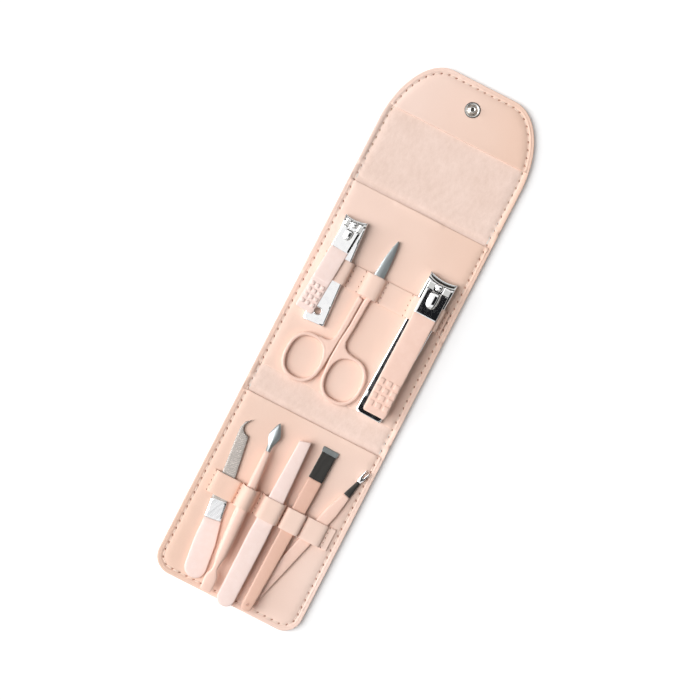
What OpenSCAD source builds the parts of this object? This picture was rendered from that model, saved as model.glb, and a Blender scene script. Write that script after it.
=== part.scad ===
// Fold-out manicure case with its eight tools, lying open on a flat surface.
// +Y runs from the lower panel to the flap, +Z is up, the origin is under the middle.

/* [Case] */
// Width of the open case
case_w = 84; // [82:1:90]
// Y of the flap's straight end
flap_end_y = 152.5; // [150:0.5:156]
// Y of the lower panel's end
lower_end_y = -151; // [-154:0.5:-150]
// Radius of the two corners of the lower panel
lower_corner_r = 10; // [6:1:14]
// Half length of the flap's straight end
flap_flat = 18; // [10:1:24]
// Length over which each side of the flap curves in
flap_curve = 40.5; // [30:0.5:45]
// Thickness of the outer leatherette
cover_t = 0.9; // [0.8:0.1:1.2]
// Thickness of the stiffening board
board_t = 1.2; // [1:0.1:1.6]
// Thickness of the suede lining
lining_t = 0.6; // [0.5:0.1:0.8]
// Thickness of the smooth facing on the panels
facing_t = 0.6; // [0.5:0.1:0.8]
// Width of the turned edge of the cover
rim_w = 3.2; // [2.5:0.1:4]
// How far the facings stop short of the edge
facing_inset = 1.6; // [1.2:0.1:2.4]

/* [Folds] */
// Y of the crease between the middle panel and the lower spine
fold_a = -32.2; // [-33:0.1:-32]
// Length of the lower spine, which is the room for the tools when the case is shut
lower_spine = 13.6; // [13.4:0.1:16]
// Y of the crease between the middle panel and the upper spine
fold_c = 78; // [77.8:0.1:80]
// Space between the shut flap and the lower panel under it
flap_gap = 0.8; // [0.6:0.1:1.5]
// Gap between neighbouring panels at a crease
crease_gap = 0.2; // [0.1:0.05:0.4]

/* [Facings] */
// Y of the lower edge of the middle facing
middle_facing_y = -30; // [-31:0.1:-28]
// Y of the upper edge of the middle facing
middle_facing_end = 77.5; // [76:0.1:77.6]
// Y of the lower edge of the facing on the flap
flap_facing_y = 121.5; // [118:0.5:125]

/* [Loops] */
// Thickness of the loop bands
band_t = 0.7; // [0.5:0.1:0.8]
// Y of the lower edge of the upper band
upper_band_y = 25; // [24.9:0.1:26]
// Width of the upper band
upper_band_w = 13; // [12:0.1:14]
// Y of the lower edge of the lower band
lower_band_y = -102.9; // [-102.9:0.1:-102]
// Width of the lower band
lower_band_w = 12.4; // [12:0.1:12.6]
// Room between a tool and its loop
loop_room = 0.2; // [0.2:0.05:0.4]

/* [Snap] */
// Y of the snap stud on the flap
stud_y = 138.2; // [136:0.1:140]
// Diameter of the stud's round plate
stud_plate_d = 8.5; // [8:0.1:9]
// Height of the stud above the facing
stud_h = 2.4; // [2.2:0.1:2.4]
// Diameter of the stud's bell
stud_d = 4.4; // [4:0.1:4.6]
// Diameter of the socket
socket_d = 10; // [9:0.5:12]
// Diameter of the cap outside the flap
cap_d = 12; // [10:0.5:13]

/* [Clippers] */
// Length of the small clipper
small_len = 59.5; // [58:0.5:60]
// Width of the small clipper
small_w = 12; // [11.5:0.1:12.2]
// Height of the small clipper's body at its jaws
small_h = 4.6; // [4.4:0.1:4.6]
// Thickness of the small clipper's arms
small_arm_t = 1.2; // [1.1:0.1:1.3]
// Width of the small clipper's lever
small_lever_w = 10; // [9:0.1:10.4]
// Length of the large clipper
large_len = 83; // [81:0.5:84]
// Width of the large clipper
large_w = 15; // [14:0.1:15.2]
// Height of the large clipper's body at its jaws
large_h = 5.2; // [5:0.1:5.2]
// Thickness of the large clipper's arms
large_arm_t = 1.4; // [1.3:0.1:1.5]
// Width of the large clipper's lever
large_lever_w = 12.6; // [12:0.1:13]

/* [Scissors] */
// Thickness of each scissor blade
blade_t = 1.3; // [1.2:0.1:1.3]
// Thickness of the finger rings
ring_t = 2.6; // [2.4:0.1:2.7]
// Width of the bow of a finger ring
ring_w = 2.2; // [2:0.1:2.4]
// Diameter of the pivot screw
screw_d = 2.6; // [2.4:0.1:2.8]

/* [Lower tools] */
// Thickness of the hook file's handle
file_t = 1.6; // [1.4:0.1:1.6]
// Largest diameter of the cuticle pusher's handle
pusher_d = 6.6; // [6:0.1:6.8]
// Height of the tweezers between their outer faces
tweezers_h = 6.4; // [6.2:0.1:6.6]
// Thickness of each arm of the tweezers
tweezers_arm_t = 1.1; // [1:0.1:1.2]
// Thickness of the scraper's handle
scraper_t = 2.2; // [2:0.1:2.2]
// Thickness of the cuticle fork's handle
fork_t = 1.8; // [1.6:0.1:1.8]

/* [Hidden] */

smooth_fn = 48;
fit = 0.1;
through = 1;

// Levels of the layers and places of the creases
board_z = cover_t;
lining_z = board_z + board_t;
panel_t = lining_z + lining_t;
facing_z = panel_t + facing_t;
tool_z = facing_z + 0.1;
upper_spine = lower_spine + panel_t + facing_t + flap_gap;
fold_b = fold_a - lower_spine;
fold_d = fold_c + upper_spine;
lower_facing_end = fold_b - 0.2;

// The socket lies where the stud comes down once both folds are shut
socket_y = fold_a + fold_b - fold_c - fold_d + stud_y;
socket_h = cover_t + board_t;
socket_bore_d = stud_d + 0.6;
socket_bore_h = 1.8;
eyelet_d = 2.6;
eyelet_flange_d = 8;
eyelet_flange_t = 0.4;
stud_plate_t = 0.4;
stud_pin_d = 2.2;
cap_t = 0.5;
cap_tube_d = 3;

// Colours
leather = [0.96, 0.83, 0.76];
suede = [0.94, 0.83, 0.77];
pink = [0.97, 0.84, 0.79];
card = [0.72, 0.62, 0.5];
chrome = [0.86, 0.87, 0.88];
steel = [0.45, 0.46, 0.47];

// ---- Shared shapes ----

function arc_points(cx, cy, rx, ry, from, to, steps) =
    [for (i = [0:steps]) let (t = from + (to - from) * i / steps) [cx + rx * cos(t), cy + ry * sin(t)]];

// A rounded oval, squarer than an ellipse
function oval_points(cx, cy, rx, ry, steps = 48) =
    [for (i = [0:steps - 1]) let (t = 360 * i / steps, p = 0.86)
        [cx + rx * sign(cos(t)) * pow(abs(cos(t)), p), cy + ry * sign(sin(t)) * pow(abs(sin(t)), p)]];

// The outline of the whole open case, drawn in by inset
module case_outline(inset) {
    half_w = case_w / 2;
    curve_w = half_w - flap_flat - inset;
    curve_y = flap_end_y - flap_curve;
    corner_x = half_w - lower_corner_r;
    corner_y = lower_end_y + lower_corner_r;
    corner_r = lower_corner_r - inset;
    polygon(concat(
        arc_points(flap_flat, curve_y, curve_w, flap_curve - inset, 0, 90, 20),
        arc_points(-flap_flat, curve_y, curve_w, flap_curve - inset, 90, 180, 20),
        arc_points(-corner_x, corner_y, corner_r, corner_r, 180, 270, 10),
        arc_points(corner_x, corner_y, corner_r, corner_r, 270, 360, 10)
    ));
}

// One layer of one panel
module sheet(from_y, to_y, inset, z, t) {
    translate([0, 0, z])
        linear_extrude(t)
            intersection() {
                case_outline(inset);
                translate([-case_w, from_y])
                    square([2 * case_w, to_y - from_y]);
            }
}

// The cover of one panel, with its edge turned up round the board
module cover(from_y, to_y) {
    sheet(from_y, to_y, 0, 0, cover_t);
    difference() {
        sheet(from_y, to_y, 0, cover_t, panel_t - cover_t);
        sheet(from_y - through, to_y + through, rim_w, cover_t - through, panel_t + through);
    }
}

module board(from_y, to_y) {
    sheet(from_y, to_y, rim_w, board_z, board_t);
}

module lining(from_y, to_y) {
    sheet(from_y, to_y, rim_w, lining_z, lining_t);
}

// Draws its 2D child in the Y-Z plane and extrudes it along X about the middle
module side_extrude(width) {
    translate([-width / 2, 0, 0])
        rotate([90, 0, 90])
            linear_extrude(width)
                children();
}

// ---- Loop bands ----

module arch(from_x, to_x, h, r) {
    translate([from_x, 0])
        square([to_x - from_x, h - r]);
    translate([from_x + r, 0])
        square([to_x - from_x - 2 * r, h]);
    for (x = [from_x + r, to_x - r])
        translate([x, h - r])
            circle(r, $fn = smooth_fn);
}

// A band stitched flat between loops; each loop is [from x, to x, clear height, corner radius]
module loop_band(loops, from_x, to_x, from_y, width) {
    translate([0, from_y + width, facing_z])
        rotate([90, 0, 0])
            linear_extrude(width)
                difference() {
                    union() {
                        translate([from_x, 0])
                            square([to_x - from_x, band_t]);
                        for (loop = loops)
                            arch(loop[0] - band_t, loop[1] + band_t, loop[2] + band_t, loop[3] + band_t);
                    }
                    for (loop = loops)
                        translate([0, -through])
                            arch(loop[0], loop[1], loop[2] + through, loop[3]);
                }
}

upper_loops = [
    [-33.2, -19, 4.1 + 0.1 + loop_room, 1],
    [-9.4, 0.2, 3.4, 1],
    [17.9, 34.6, large_h + 0.1 + loop_room, 1]
];
lower_loops = [
    [-32.3, -19.6, 2, 0.6],
    [-17.2, -8.8, 8.3, 3.5],
    [-4.6, 6.8, tweezers_h + 0.1 + loop_room, 1.5],
    [9.2, 18.8, 4.4, 1],
    [20.6, 31.7, 2.1, 0.6]
];

module upper_loop_band() {
    color(leather)
        loop_band(upper_loops, -35, 38, upper_band_y, upper_band_w);
}

module lower_loop_band() {
    color(leather)
        loop_band(lower_loops, -34.5, 36.5, lower_band_y, lower_band_w);
}

// ---- Middle panel ----

module middle_cover() {
    color(leather)
        cover(fold_a + crease_gap / 2, fold_c - crease_gap / 2);
}

module middle_board() {
    color(card)
        board(fold_a + 1, fold_c - 1);
}

module middle_lining() {
    color(suede)
        lining(fold_a + crease_gap / 2, fold_c - crease_gap / 2);
}

module middle_facing() {
    color(leather)
        sheet(middle_facing_y, middle_facing_end, facing_inset, panel_t, facing_t);
}

// ---- Lower spine ----

module lower_spine_cover() {
    color(leather)
        cover(fold_b + crease_gap / 2, fold_a - crease_gap / 2);
}

module lower_spine_padding() {
    color(card)
        board(fold_b + 1, fold_a - 1);
}

module lower_spine_lining() {
    color(suede)
        lining(fold_b + crease_gap / 2, fold_a - crease_gap / 2);
}

// ---- Lower panel ----

module at_socket() {
    translate([0, socket_y, 0])
        children();
}

module lower_cover() {
    color(leather)
        difference() {
            cover(lower_end_y - through, fold_b - crease_gap / 2);
            at_socket()
                translate([0, 0, -through])
                    cylinder(d = socket_d + 2 * fit, h = cover_t + 2 * through, $fn = smooth_fn);
        }
}

module lower_board() {
    color(card)
        difference() {
            board(lower_end_y - through, fold_b - 1);
            at_socket()
                cylinder(d = socket_d + 2 * fit, h = lining_z + fit, $fn = smooth_fn);
        }
}

module lower_lining() {
    color(suede)
        difference() {
            lining(lower_end_y - through, fold_b - crease_gap / 2);
            at_socket()
                cylinder(d = eyelet_d + 2 * fit, h = panel_t + through, $fn = smooth_fn);
        }
}

module lower_facing() {
    color(leather)
        difference() {
            sheet(lower_end_y - through, lower_facing_end, facing_inset, panel_t, facing_t);
            at_socket()
                translate([0, 0, panel_t - through])
                    cylinder(d = eyelet_flange_d + 2 * fit, h = eyelet_flange_t + through, $fn = smooth_fn);
        }
}

module snap_socket() {
    color(chrome)
        at_socket()
            difference() {
                cylinder(d = socket_d, h = socket_h, $fn = smooth_fn);
                translate([0, 0, -through])
                    cylinder(d = socket_bore_d, h = socket_bore_h + through, $fn = smooth_fn);
                cylinder(d = eyelet_d + fit, h = socket_h + through, $fn = smooth_fn);
            }
}

module snap_eyelet() {
    color(chrome)
        at_socket() {
            translate([0, 0, panel_t])
                cylinder(d = eyelet_flange_d, h = eyelet_flange_t, $fn = smooth_fn);
            translate([0, 0, socket_bore_h])
                cylinder(d = eyelet_d, h = panel_t - socket_bore_h, $fn = smooth_fn);
        }
}

// ---- Upper spine ----

module upper_spine_cover() {
    color(leather)
        cover(fold_c + crease_gap / 2, fold_d - crease_gap / 2);
}

module upper_spine_padding() {
    color(card)
        board(fold_c + 1, fold_d - 1);
}

module upper_spine_lining() {
    color(suede)
        lining(fold_c + crease_gap / 2, fold_d - crease_gap / 2);
}

// ---- Flap ----

module at_stud() {
    translate([0, stud_y, 0])
        children();
}

module stud_hole() {
    at_stud()
        translate([0, 0, -through])
            cylinder(d = cap_tube_d + 2 * fit, h = facing_z + 2 * through, $fn = smooth_fn);
}

module flap_cover() {
    color(leather)
        difference() {
            cover(fold_d + crease_gap / 2, flap_end_y + through);
            stud_hole();
            at_stud()
                translate([0, 0, -through])
                    cylinder(d = cap_d + 2 * fit, h = cap_t + through, $fn = smooth_fn);
        }
}

module flap_board() {
    color(card)
        difference() {
            board(fold_d + 1, flap_end_y + through);
            stud_hole();
        }
}

module flap_lining() {
    color(suede)
        difference() {
            lining(fold_d + crease_gap / 2, flap_end_y + through);
            stud_hole();
        }
}

module flap_facing() {
    color(leather)
        difference() {
            sheet(flap_facing_y, flap_end_y + through, facing_inset, panel_t, facing_t);
            stud_hole();
        }
}

// A round plate with a bell that narrows a little at its foot
module snap_stud() {
    neck_d = stud_d - 0.8;
    round_r = 0.6;
    color(chrome)
        at_stud() {
            translate([0, 0, facing_z])
                rotate_extrude($fn = smooth_fn)
                    union() {
                        square([stud_plate_d / 2, stud_plate_t]);
                        square([neck_d / 2, stud_h - round_r]);
                        translate([0, stud_plate_t + 0.5])
                            square([stud_d / 2, stud_h - stud_plate_t - 0.5 - round_r]);
                        translate([0, stud_h - round_r])
                            square([stud_d / 2 - round_r, round_r]);
                        translate([stud_d / 2 - round_r, stud_h - round_r])
                            intersection() {
                                circle(round_r, $fn = smooth_fn);
                                square(round_r);
                            }
                    }
            translate([0, 0, cap_t + fit])
                cylinder(d = stud_pin_d, h = facing_z - cap_t - fit, $fn = smooth_fn);
        }
}

module snap_cap() {
    color(chrome)
        at_stud()
            difference() {
                union() {
                    cylinder(d = cap_d, h = cap_t, $fn = smooth_fn);
                    cylinder(d = cap_tube_d, h = facing_z - fit, $fn = smooth_fn);
                }
                translate([0, 0, cap_t])
                    cylinder(d = stud_pin_d + fit, h = facing_z, $fn = smooth_fn);
            }
}

// ---- Nail clippers ----
// In a clipper's own frame the tail is at y = 0 and the jaws at y = length.

small_tail = [-24, 0.9, 3.9];
large_tail = [24, -30, -2.07];
small_lever_turn = -4.04;
large_lever_turn = -0.54;
post_inset_small = 4.2;
post_inset_large = 6;
jaw_open = 1.6;
lever_rise = 0.7;
lever_t = 1.2;
lever_t_large = 1.4;
grip_core_t = 0.5;
grip_wall = 1;
boss_d = 2;
pin_d = 0.9;
notch_w = 5;
notch_back = 3;
key_hole_s = 6.6;
key_hole_d = 3.5;
dot_h = 0.25;

module place_tool(spot) {
    translate([spot[0], spot[1], tool_z])
        rotate([0, 0, spot[2]])
            children();
}

// Moves the frame from a clipper's tail to its post, turned as the lever lies
module place_lever(spot, post_s, turn) {
    place_tool(spot)
        translate([0, post_s, 0])
            rotate([0, 0, turn - spot[2]])
                children();
}

// Outline of the arms from above, with the hollow cutting edge
module clipper_plan(length, width) {
    edge_r = 1.5 * width;
    edge_dip = 1.6;
    difference() {
        polygon([
            [-width / 2, 0], [width / 2, 0],
            [width / 2 + 0.3, length], [-width / 2 - 0.3, length]
        ]);
        translate([0, length + edge_r - edge_dip])
            circle(edge_r, $fn = 96);
    }
}

module lower_arm_side(length, t, h) {
    lip = (h - jaw_open) / 2;
    polygon([
        [0, 0], [length - 7, 0], [length - 2, 0.5], [length, lip - 0.4], [length, lip],
        [length - 1.6, lip], [length - 3, t + 0.1], [length - 7, t], [0, t]
    ]);
}

module upper_arm_side(length, t, h) {
    lip = (h + jaw_open) / 2;
    rise = length - 0.2 * length;
    polygon([
        [0, t], [10, t], [rise, h - t], [length - 7, h - t], [length - 3, h - t - 0.1],
        [length - 1.6, lip], [length, lip], [length, lip + 0.4], [length - 2, h - 0.5],
        [length - 7, h], [rise, h], [10, 2 * t], [0, 2 * t]
    ]);
}

module clipper_lower_arm(length, width, t, h, post_s, post_d, rivet_d) {
    difference() {
        intersection() {
            side_extrude(2 * width)
                lower_arm_side(length, t, h);
            linear_extrude(h)
                clipper_plan(length, width);
        }
        translate([0, post_s, -through])
            cylinder(d = post_d + 2 * fit, h = h + 2 * through, $fn = smooth_fn);
        translate([0, post_s, -through])
            cylinder(d = post_d + 2 + 2 * fit, h = through + 0.6, $fn = smooth_fn);
        translate([0, key_hole_s, -through])
            cylinder(d = rivet_d + fit, h = h + 2 * through, $fn = smooth_fn);
    }
}

module clipper_upper_arm(length, width, t, h, post_s, post_d, rivet_d) {
    difference() {
        intersection() {
            side_extrude(2 * width)
                upper_arm_side(length, t, h);
            linear_extrude(h)
                clipper_plan(length, width);
        }
        translate([0, post_s, -through])
            cylinder(d = post_d + 6 * fit, h = h + 2 * through, $fn = smooth_fn);
        translate([0, key_hole_s, -through])
            cylinder(d = rivet_d + fit, h = h + 2 * through, $fn = smooth_fn);
    }
}

// The post turns in both arms and carries the lever on its two pins
module clipper_post(post_d, axis_z, lever_w) {
    dome_d = post_d + 1.2;
    dome_h = 0.8;
    translate([0, 0, 0.1])
        cylinder(d = post_d + 2, h = 0.4, $fn = smooth_fn);
    translate([0, 0, 0.1])
        cylinder(d = post_d, h = axis_z + 0.5, $fn = smooth_fn);
    translate([0, 0, axis_z + 0.5])
        intersection() {
            cylinder(d = dome_d, h = dome_h, $fn = smooth_fn);
            translate([0, 0, dome_h - dome_d])
                sphere(dome_d, $fn = smooth_fn);
        }
    translate([0, 0, axis_z])
        rotate([0, 90, 0])
            cylinder(d = pin_d, h = lever_w - 2, center = true, $fn = smooth_fn);
}

// The lever's plate runs from the post towards the tail of the clipper
module clipper_lever(length, width, t, axis_z, chrome_len) {
    tongue_w = 0.42 * width;
    tongue_len = 7;
    tongue_h = 0.9;
    difference() {
        union() {
            translate([-width / 2, -chrome_len, axis_z - t / 2])
                cube([width, chrome_len, t]);
            translate([0, 0, axis_z])
                rotate([0, 90, 0])
                    cylinder(d = boss_d, h = width, center = true, $fn = smooth_fn);
            translate([grip_wall - width / 2, grip_wall - length, axis_z - grip_core_t / 2])
                cube([width - 2 * grip_wall, length - chrome_len, grip_core_t]);
            translate([-tongue_w / 2, -notch_back - 1 - tongue_len, axis_z + t / 2])
                cube([tongue_w, tongue_len, tongue_h]);
        }
        translate([-notch_w / 2, -notch_back, axis_z - 3])
            cube([notch_w, notch_back + 3, 6]);
        translate([0, 0, axis_z])
            rotate([0, 90, 0])
                cylinder(d = pin_d + 2 * fit, h = width - 1, center = true, $fn = smooth_fn);
    }
}

// The coloured grip closes round the thin end of the lever
module clipper_grip(length, width, t, axis_z, chrome_len) {
    dot_pitch_x = 0.28 * width;
    dot_pitch_y = 3.4;
    dot_end = 0.09 * length + 3;
    difference() {
        translate([-width / 2, -length, axis_z - t / 2])
            cube([width, length - chrome_len, t]);
        translate([grip_wall - width / 2, grip_wall - length, axis_z - grip_core_t / 2])
            cube([width - 2 * grip_wall, length, grip_core_t]);
    }
    for (column = [-1:1], row = [0:3])
        translate([column * dot_pitch_x, dot_end - length + row * dot_pitch_y, axis_z + t / 2])
            cylinder(d = 1.5, h = dot_h, $fn = 16);
}

small_post_s = small_len - post_inset_small;
small_post_d = 2.6;
small_axis_z = small_h + lever_rise + lever_t / 2;
small_lever_len = 51.5;
small_chrome_len = 15;
small_rivet_d = key_hole_d + 1;

module small_clipper_lower_arm() {
    color(chrome)
        place_tool(small_tail)
            clipper_lower_arm(small_len, small_w, small_arm_t, small_h, small_post_s, small_post_d,
                small_rivet_d);
}

module small_clipper_upper_arm() {
    color(chrome)
        place_tool(small_tail)
            clipper_upper_arm(small_len, small_w, small_arm_t, small_h, small_post_s, small_post_d,
                small_rivet_d);
}

// A hollow rivet that joins the arms and leaves the key ring hole
module small_clipper_eyelet() {
    color(chrome)
        place_tool(small_tail)
            translate([0, key_hole_s, 0])
                difference() {
                    cylinder(d = small_rivet_d, h = 2 * small_arm_t, $fn = smooth_fn);
                    translate([0, 0, -through])
                        cylinder(d = key_hole_d, h = 2 * small_arm_t + 2 * through, $fn = smooth_fn);
                }
}

module small_clipper_post() {
    color(chrome)
        place_lever(small_tail, small_post_s, small_lever_turn)
            clipper_post(small_post_d, small_axis_z, small_lever_w);
}

module small_clipper_lever() {
    color(chrome)
        place_lever(small_tail, small_post_s, small_lever_turn)
            clipper_lever(small_lever_len, small_lever_w, lever_t, small_axis_z, small_chrome_len);
}

module small_clipper_grip() {
    color(pink)
        place_lever(small_tail, small_post_s, small_lever_turn)
            clipper_grip(small_lever_len, small_lever_w, lever_t, small_axis_z, small_chrome_len);
}

large_post_s = large_len - post_inset_large;
large_post_d = 3;
large_axis_z = large_h + lever_rise + 0.4 + lever_t_large / 2;
large_lever_len = 74.5;
large_chrome_len = 17;
large_rivet_d = 4;

module large_clipper_lower_arm() {
    color(chrome)
        place_tool(large_tail)
            clipper_lower_arm(large_len, large_w, large_arm_t, large_h, large_post_s, large_post_d,
                large_rivet_d);
}

module large_clipper_upper_arm() {
    color(chrome)
        place_tool(large_tail)
            clipper_upper_arm(large_len, large_w, large_arm_t, large_h, large_post_s, large_post_d,
                large_rivet_d);
}

module large_clipper_rivet() {
    color(chrome)
        place_tool(large_tail)
            translate([0, key_hole_s, 0])
                cylinder(d = large_rivet_d, h = 2 * large_arm_t, $fn = smooth_fn);
}

module large_clipper_post() {
    color(chrome)
        place_lever(large_tail, large_post_s, large_lever_turn)
            clipper_post(large_post_d, large_axis_z, large_lever_w);
}

module large_clipper_lever() {
    color(chrome)
        place_lever(large_tail, large_post_s, large_lever_turn)
            clipper_lever(large_lever_len, large_lever_w, lever_t_large, large_axis_z, large_chrome_len);
}

module large_clipper_grip() {
    color(pink)
        place_lever(large_tail, large_post_s, large_lever_turn)
            clipper_grip(large_lever_len, large_lever_w, lever_t_large, large_axis_z, large_chrome_len);
}

// ---- Scissors ----
// Drawn where they lie; the pivot is under the upper band.

pivot_x = -4.3;
pivot_y = 31;
blade_gap = 0.1;

// The two layers of the blades, and the boss of each round the pivot
module blade_layer(level) {
    translate([0, 0, tool_z + level * (blade_t + blade_gap)])
        linear_extrude(blade_t)
            children();
}

module finger_ring(cx, cy, rx, ry) {
    translate([0, 0, tool_z])
        linear_extrude(ring_t)
            difference() {
                polygon(oval_points(cx, cy, rx, ry));
                polygon(oval_points(cx, cy, rx - ring_w, ry - ring_w));
            }
}

module pivot_bore() {
    translate([pivot_x, pivot_y, tool_z - through])
        cylinder(d = screw_d + fit, h = 2 * blade_t + blade_gap + 2 * through, $fn = smooth_fn);
}

// Left finger ring, left shank and the blade that crosses under
module scissors_left_half() {
    color(pink)
        difference() {
            union() {
                blade_layer(0) {
                    translate([pivot_x, pivot_y])
                        circle(3, $fn = smooth_fn);
                    polygon([[-7.1, 30], [-6.5, 38], [-3.2, 59], [-2.4, 59], [-1.2, 38], [-1.6, 31]]);
                    polygon([[-7.6, 32], [-8, 24], [-7.8, 22.4], [-5.4, 22], [-5.2, 24.9], [-2.6, 28], [-3, 32]]);
                }
                translate([0, 0, tool_z])
                    linear_extrude(ring_t)
                        polygon([
                            [-8, 23.5], [-5.3, 22], [-7.6, -7], [-9.4, -24], [-11.6, -24], [-11, -9],
                            [-17, -4.4], [-17, -3.8], [-12, -3.8], [-9.6, -1]
                        ]);
                finger_ring(-20, -17.2, 11, 13.4);
            }
            pivot_bore();
        }
}

// Right finger ring, right shank and the upper blade
module scissors_right_half() {
    color(pink)
        difference() {
            union() {
                blade_layer(1) {
                    translate([pivot_x, pivot_y])
                        circle(3, $fn = smooth_fn);
                    polygon([[-7.1, 31], [-6.5, 38], [-3.4, 59.2], [-2.6, 59.2], [-1, 38], [-1.6, 30]]);
                    polygon([[-6, 32], [-5, 24.6], [-1.9, 24.6], [-1.4, 32]]);
                }
                translate([0, 0, tool_z])
                    linear_extrude(ring_t)
                        polygon([
                            [-4.9, 24.6], [-1.9, 24.6], [-3.3, -1], [-1.2, -4.8], [3, -5.3],
                            [3, -7.4], [-3, -10], [-5.4, -14], [-5.4, -22], [-7.6, -22], [-7.2, -7]
                        ]);
                finger_ring(4, -18.5, 11.3, 13.2);
            }
            pivot_bore();
        }
}

module scissors_screw() {
    head_d = 4.4;
    head_t = 0.4;
    shank_h = 2 * blade_t + blade_gap;
    color(chrome)
        translate([pivot_x, pivot_y, tool_z]) {
            cylinder(d = screw_d, h = shank_h, $fn = smooth_fn);
            translate([0, 0, shank_h])
                difference() {
                    cylinder(d = head_d, h = head_t, $fn = smooth_fn);
                    translate([-head_d, -0.3, head_t - 0.2])
                        cube([2 * head_d, 0.6, 1]);
                }
        }
}

// ---- Tools of the lower panel ----
// In each tool's own frame its lower end is at y = 0 and its working end is at +Y.

file_spot = [-19.7, -147, 7.1];
file_len = 89;
pusher_spot = [-10.3, -149.3, 2.8];
pusher_len = 95.4;
pusher_pitch = -1.3;
tweezers_spot = [1.1, -152.5, 0];
tweezers_len = 97;
scraper_spot = [12.7, -149.5, -1.5];
scraper_len = 95.5;
scraper_pitch = -1.9;
fork_spot = [14, -140.8, -15.5];
fork_len = 88;
lift = 0.15;

// Places a tool that leans on the tool under it, with its working end on the facing
module place_pitched(spot, length, pitch) {
    translate([spot[0], spot[1], tool_z + lift + length * sin(-pitch)])
        rotate([0, 0, spot[2]])
            rotate([pitch, 0, 0])
                children();
}

// Tang that joins a blade to its handle
module tang(joint_y, width, t, z, room) {
    translate([-width / 2 - room, joint_y - 8 - room, z - t / 2 - room])
        cube([width + 2 * room, 8 + through * room + room, t + 2 * room]);
}

file_joint_y = 32.5;
file_blade_t = 1.2;

module hook_file_blade() {
    color(steel)
        place_tool(file_spot) {
            translate([0, 0, 0.1])
                linear_extrude(file_blade_t)
                    polygon(concat(
                        [[-4.6, file_joint_y], [4.4, file_joint_y], [3.7, 57], [2.8, 79.6]],
                        arc_points(2.1, 83.6, 3.2, 3.6, 260, 130, 8),
                        [[1.8, 88.6], [-1.4, 86.4], [-3, 83], [-3.3, 77], [-3.8, 57]]
                    ));
            tang(file_joint_y, 5, 0.8, 0.7, 0);
        }
}

module hook_file_handle() {
    color(pink)
        place_tool(file_spot)
            difference() {
                linear_extrude(file_t)
                    polygon(concat(
                        arc_points(0, 6, 5.9, 6, 180, 360, 14),
                        [[6, 20], [4.6, file_joint_y], [-4.8, file_joint_y], [-6, 20]]
                    ));
                tang(file_joint_y, 5, 0.8, 0.7, fit);
            }
}

pusher_joint_y = 79.5;
pusher_axis_z = pusher_d / 2;

// A thin spear with a ridge, on a round neck
module pusher_head() {
    spear_t = 1.6;
    color(chrome)
        place_pitched(pusher_spot, pusher_len, pusher_pitch) {
            translate([0, 0, pusher_axis_z - 1.2 - spear_t / 2])
                linear_extrude(spear_t)
                    polygon([
                        [-1.5, pusher_joint_y], [1.5, pusher_joint_y], [1.8, 84], [3.2, 87.5], [2.2, 91.5],
                        [0.3, 95.3], [-0.3, 95.3], [-2.2, 91.5], [-3.2, 87.5], [-1.8, 84]
                    ]);
            translate([0, pusher_joint_y - 8, pusher_axis_z])
                rotate([-90, 0, 0])
                    cylinder(d = 2, h = 9, $fn = smooth_fn);
            translate([0, pusher_joint_y, pusher_axis_z - 0.6])
                rotate([-90, 0, 0])
                    cylinder(d = 2.8, h = 3.4, $fn = smooth_fn);
        }
}

// The turned handle, with a spade at its lower end
module pusher_handle() {
    r = pusher_d / 2;
    spade_t = 1.2;
    color(pink)
        place_pitched(pusher_spot, pusher_len, pusher_pitch)
            difference() {
                union() {
                    translate([0, 0, pusher_axis_z])
                        rotate([-90, 0, 0])
                            rotate_extrude($fn = smooth_fn)
                                polygon([
                                    [0, 8], [1.3, 8], [1.5, 13], [r - 0.7, 17.5], [r, 30], [r, 46],
                                    [r - 0.5, 56], [1.9, 78], [1.6, pusher_joint_y], [0, pusher_joint_y]
                                ]);
                    translate([0, 0, pusher_axis_z - spade_t / 2])
                        linear_extrude(spade_t)
                            polygon(concat(
                                arc_points(0, 3.4, 3.4, 3.4, 180, 360, 12),
                                [[3.2, 8.5], [1.3, 12.5], [-1.3, 12.5], [-3.2, 8.5]]
                            ));
                }
                translate([0, pusher_joint_y - 8 - fit, pusher_axis_z])
                    rotate([-90, 0, 0])
                        cylinder(d = 2 + 2 * fit, h = 9, $fn = smooth_fn);
            }
}

// Half the space between the arms of the tweezers, at a distance s from the joined end
tweezers_bow = tweezers_h / 2 - tweezers_arm_t;
tweezers_tip_gap = 3;
tweezers_mid = 50;
function arm_gap(s) =
    s < tweezers_mid
    ? 0.02 + (tweezers_bow - 0.02) * sin(90 * s / tweezers_mid)
    : tweezers_tip_gap / 2 + (tweezers_bow - tweezers_tip_gap / 2)
        * cos(90 * (s - tweezers_mid) / (tweezers_len - tweezers_mid));

module tweezers_plan() {
    polygon(concat(
        arc_points(0, 4.8, 4.8, 4.8, 180, 360, 14),
        [[5, 40], [4.4, 62], [3, tweezers_len], [-3, tweezers_len - 1.8], [-4.2, 62], [-5, 40]]
    ));
}

// The outer bow of one arm, above the middle plane
module tweezers_arm() {
    steps = 20;
    stations = [for (i = [0:steps]) tweezers_len * i / steps];
    intersection() {
        side_extrude(14)
            polygon(concat(
                [for (s = stations) [s, arm_gap(s)]],
                [for (i = [steps:-1:0]) [stations[i], arm_gap(stations[i]) + tweezers_arm_t]]
            ));
        linear_extrude(tweezers_h)
            tweezers_plan();
    }
}

module tweezers_lower_arm() {
    color(pink)
        place_tool(tweezers_spot)
            translate([0, 0, tweezers_h / 2])
                mirror([0, 0, 1])
                    tweezers_arm();
}

module tweezers_upper_arm() {
    color(pink)
        place_tool(tweezers_spot)
            translate([0, 0, tweezers_h / 2])
                tweezers_arm();
}

scraper_joint_y = 77.5;

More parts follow.
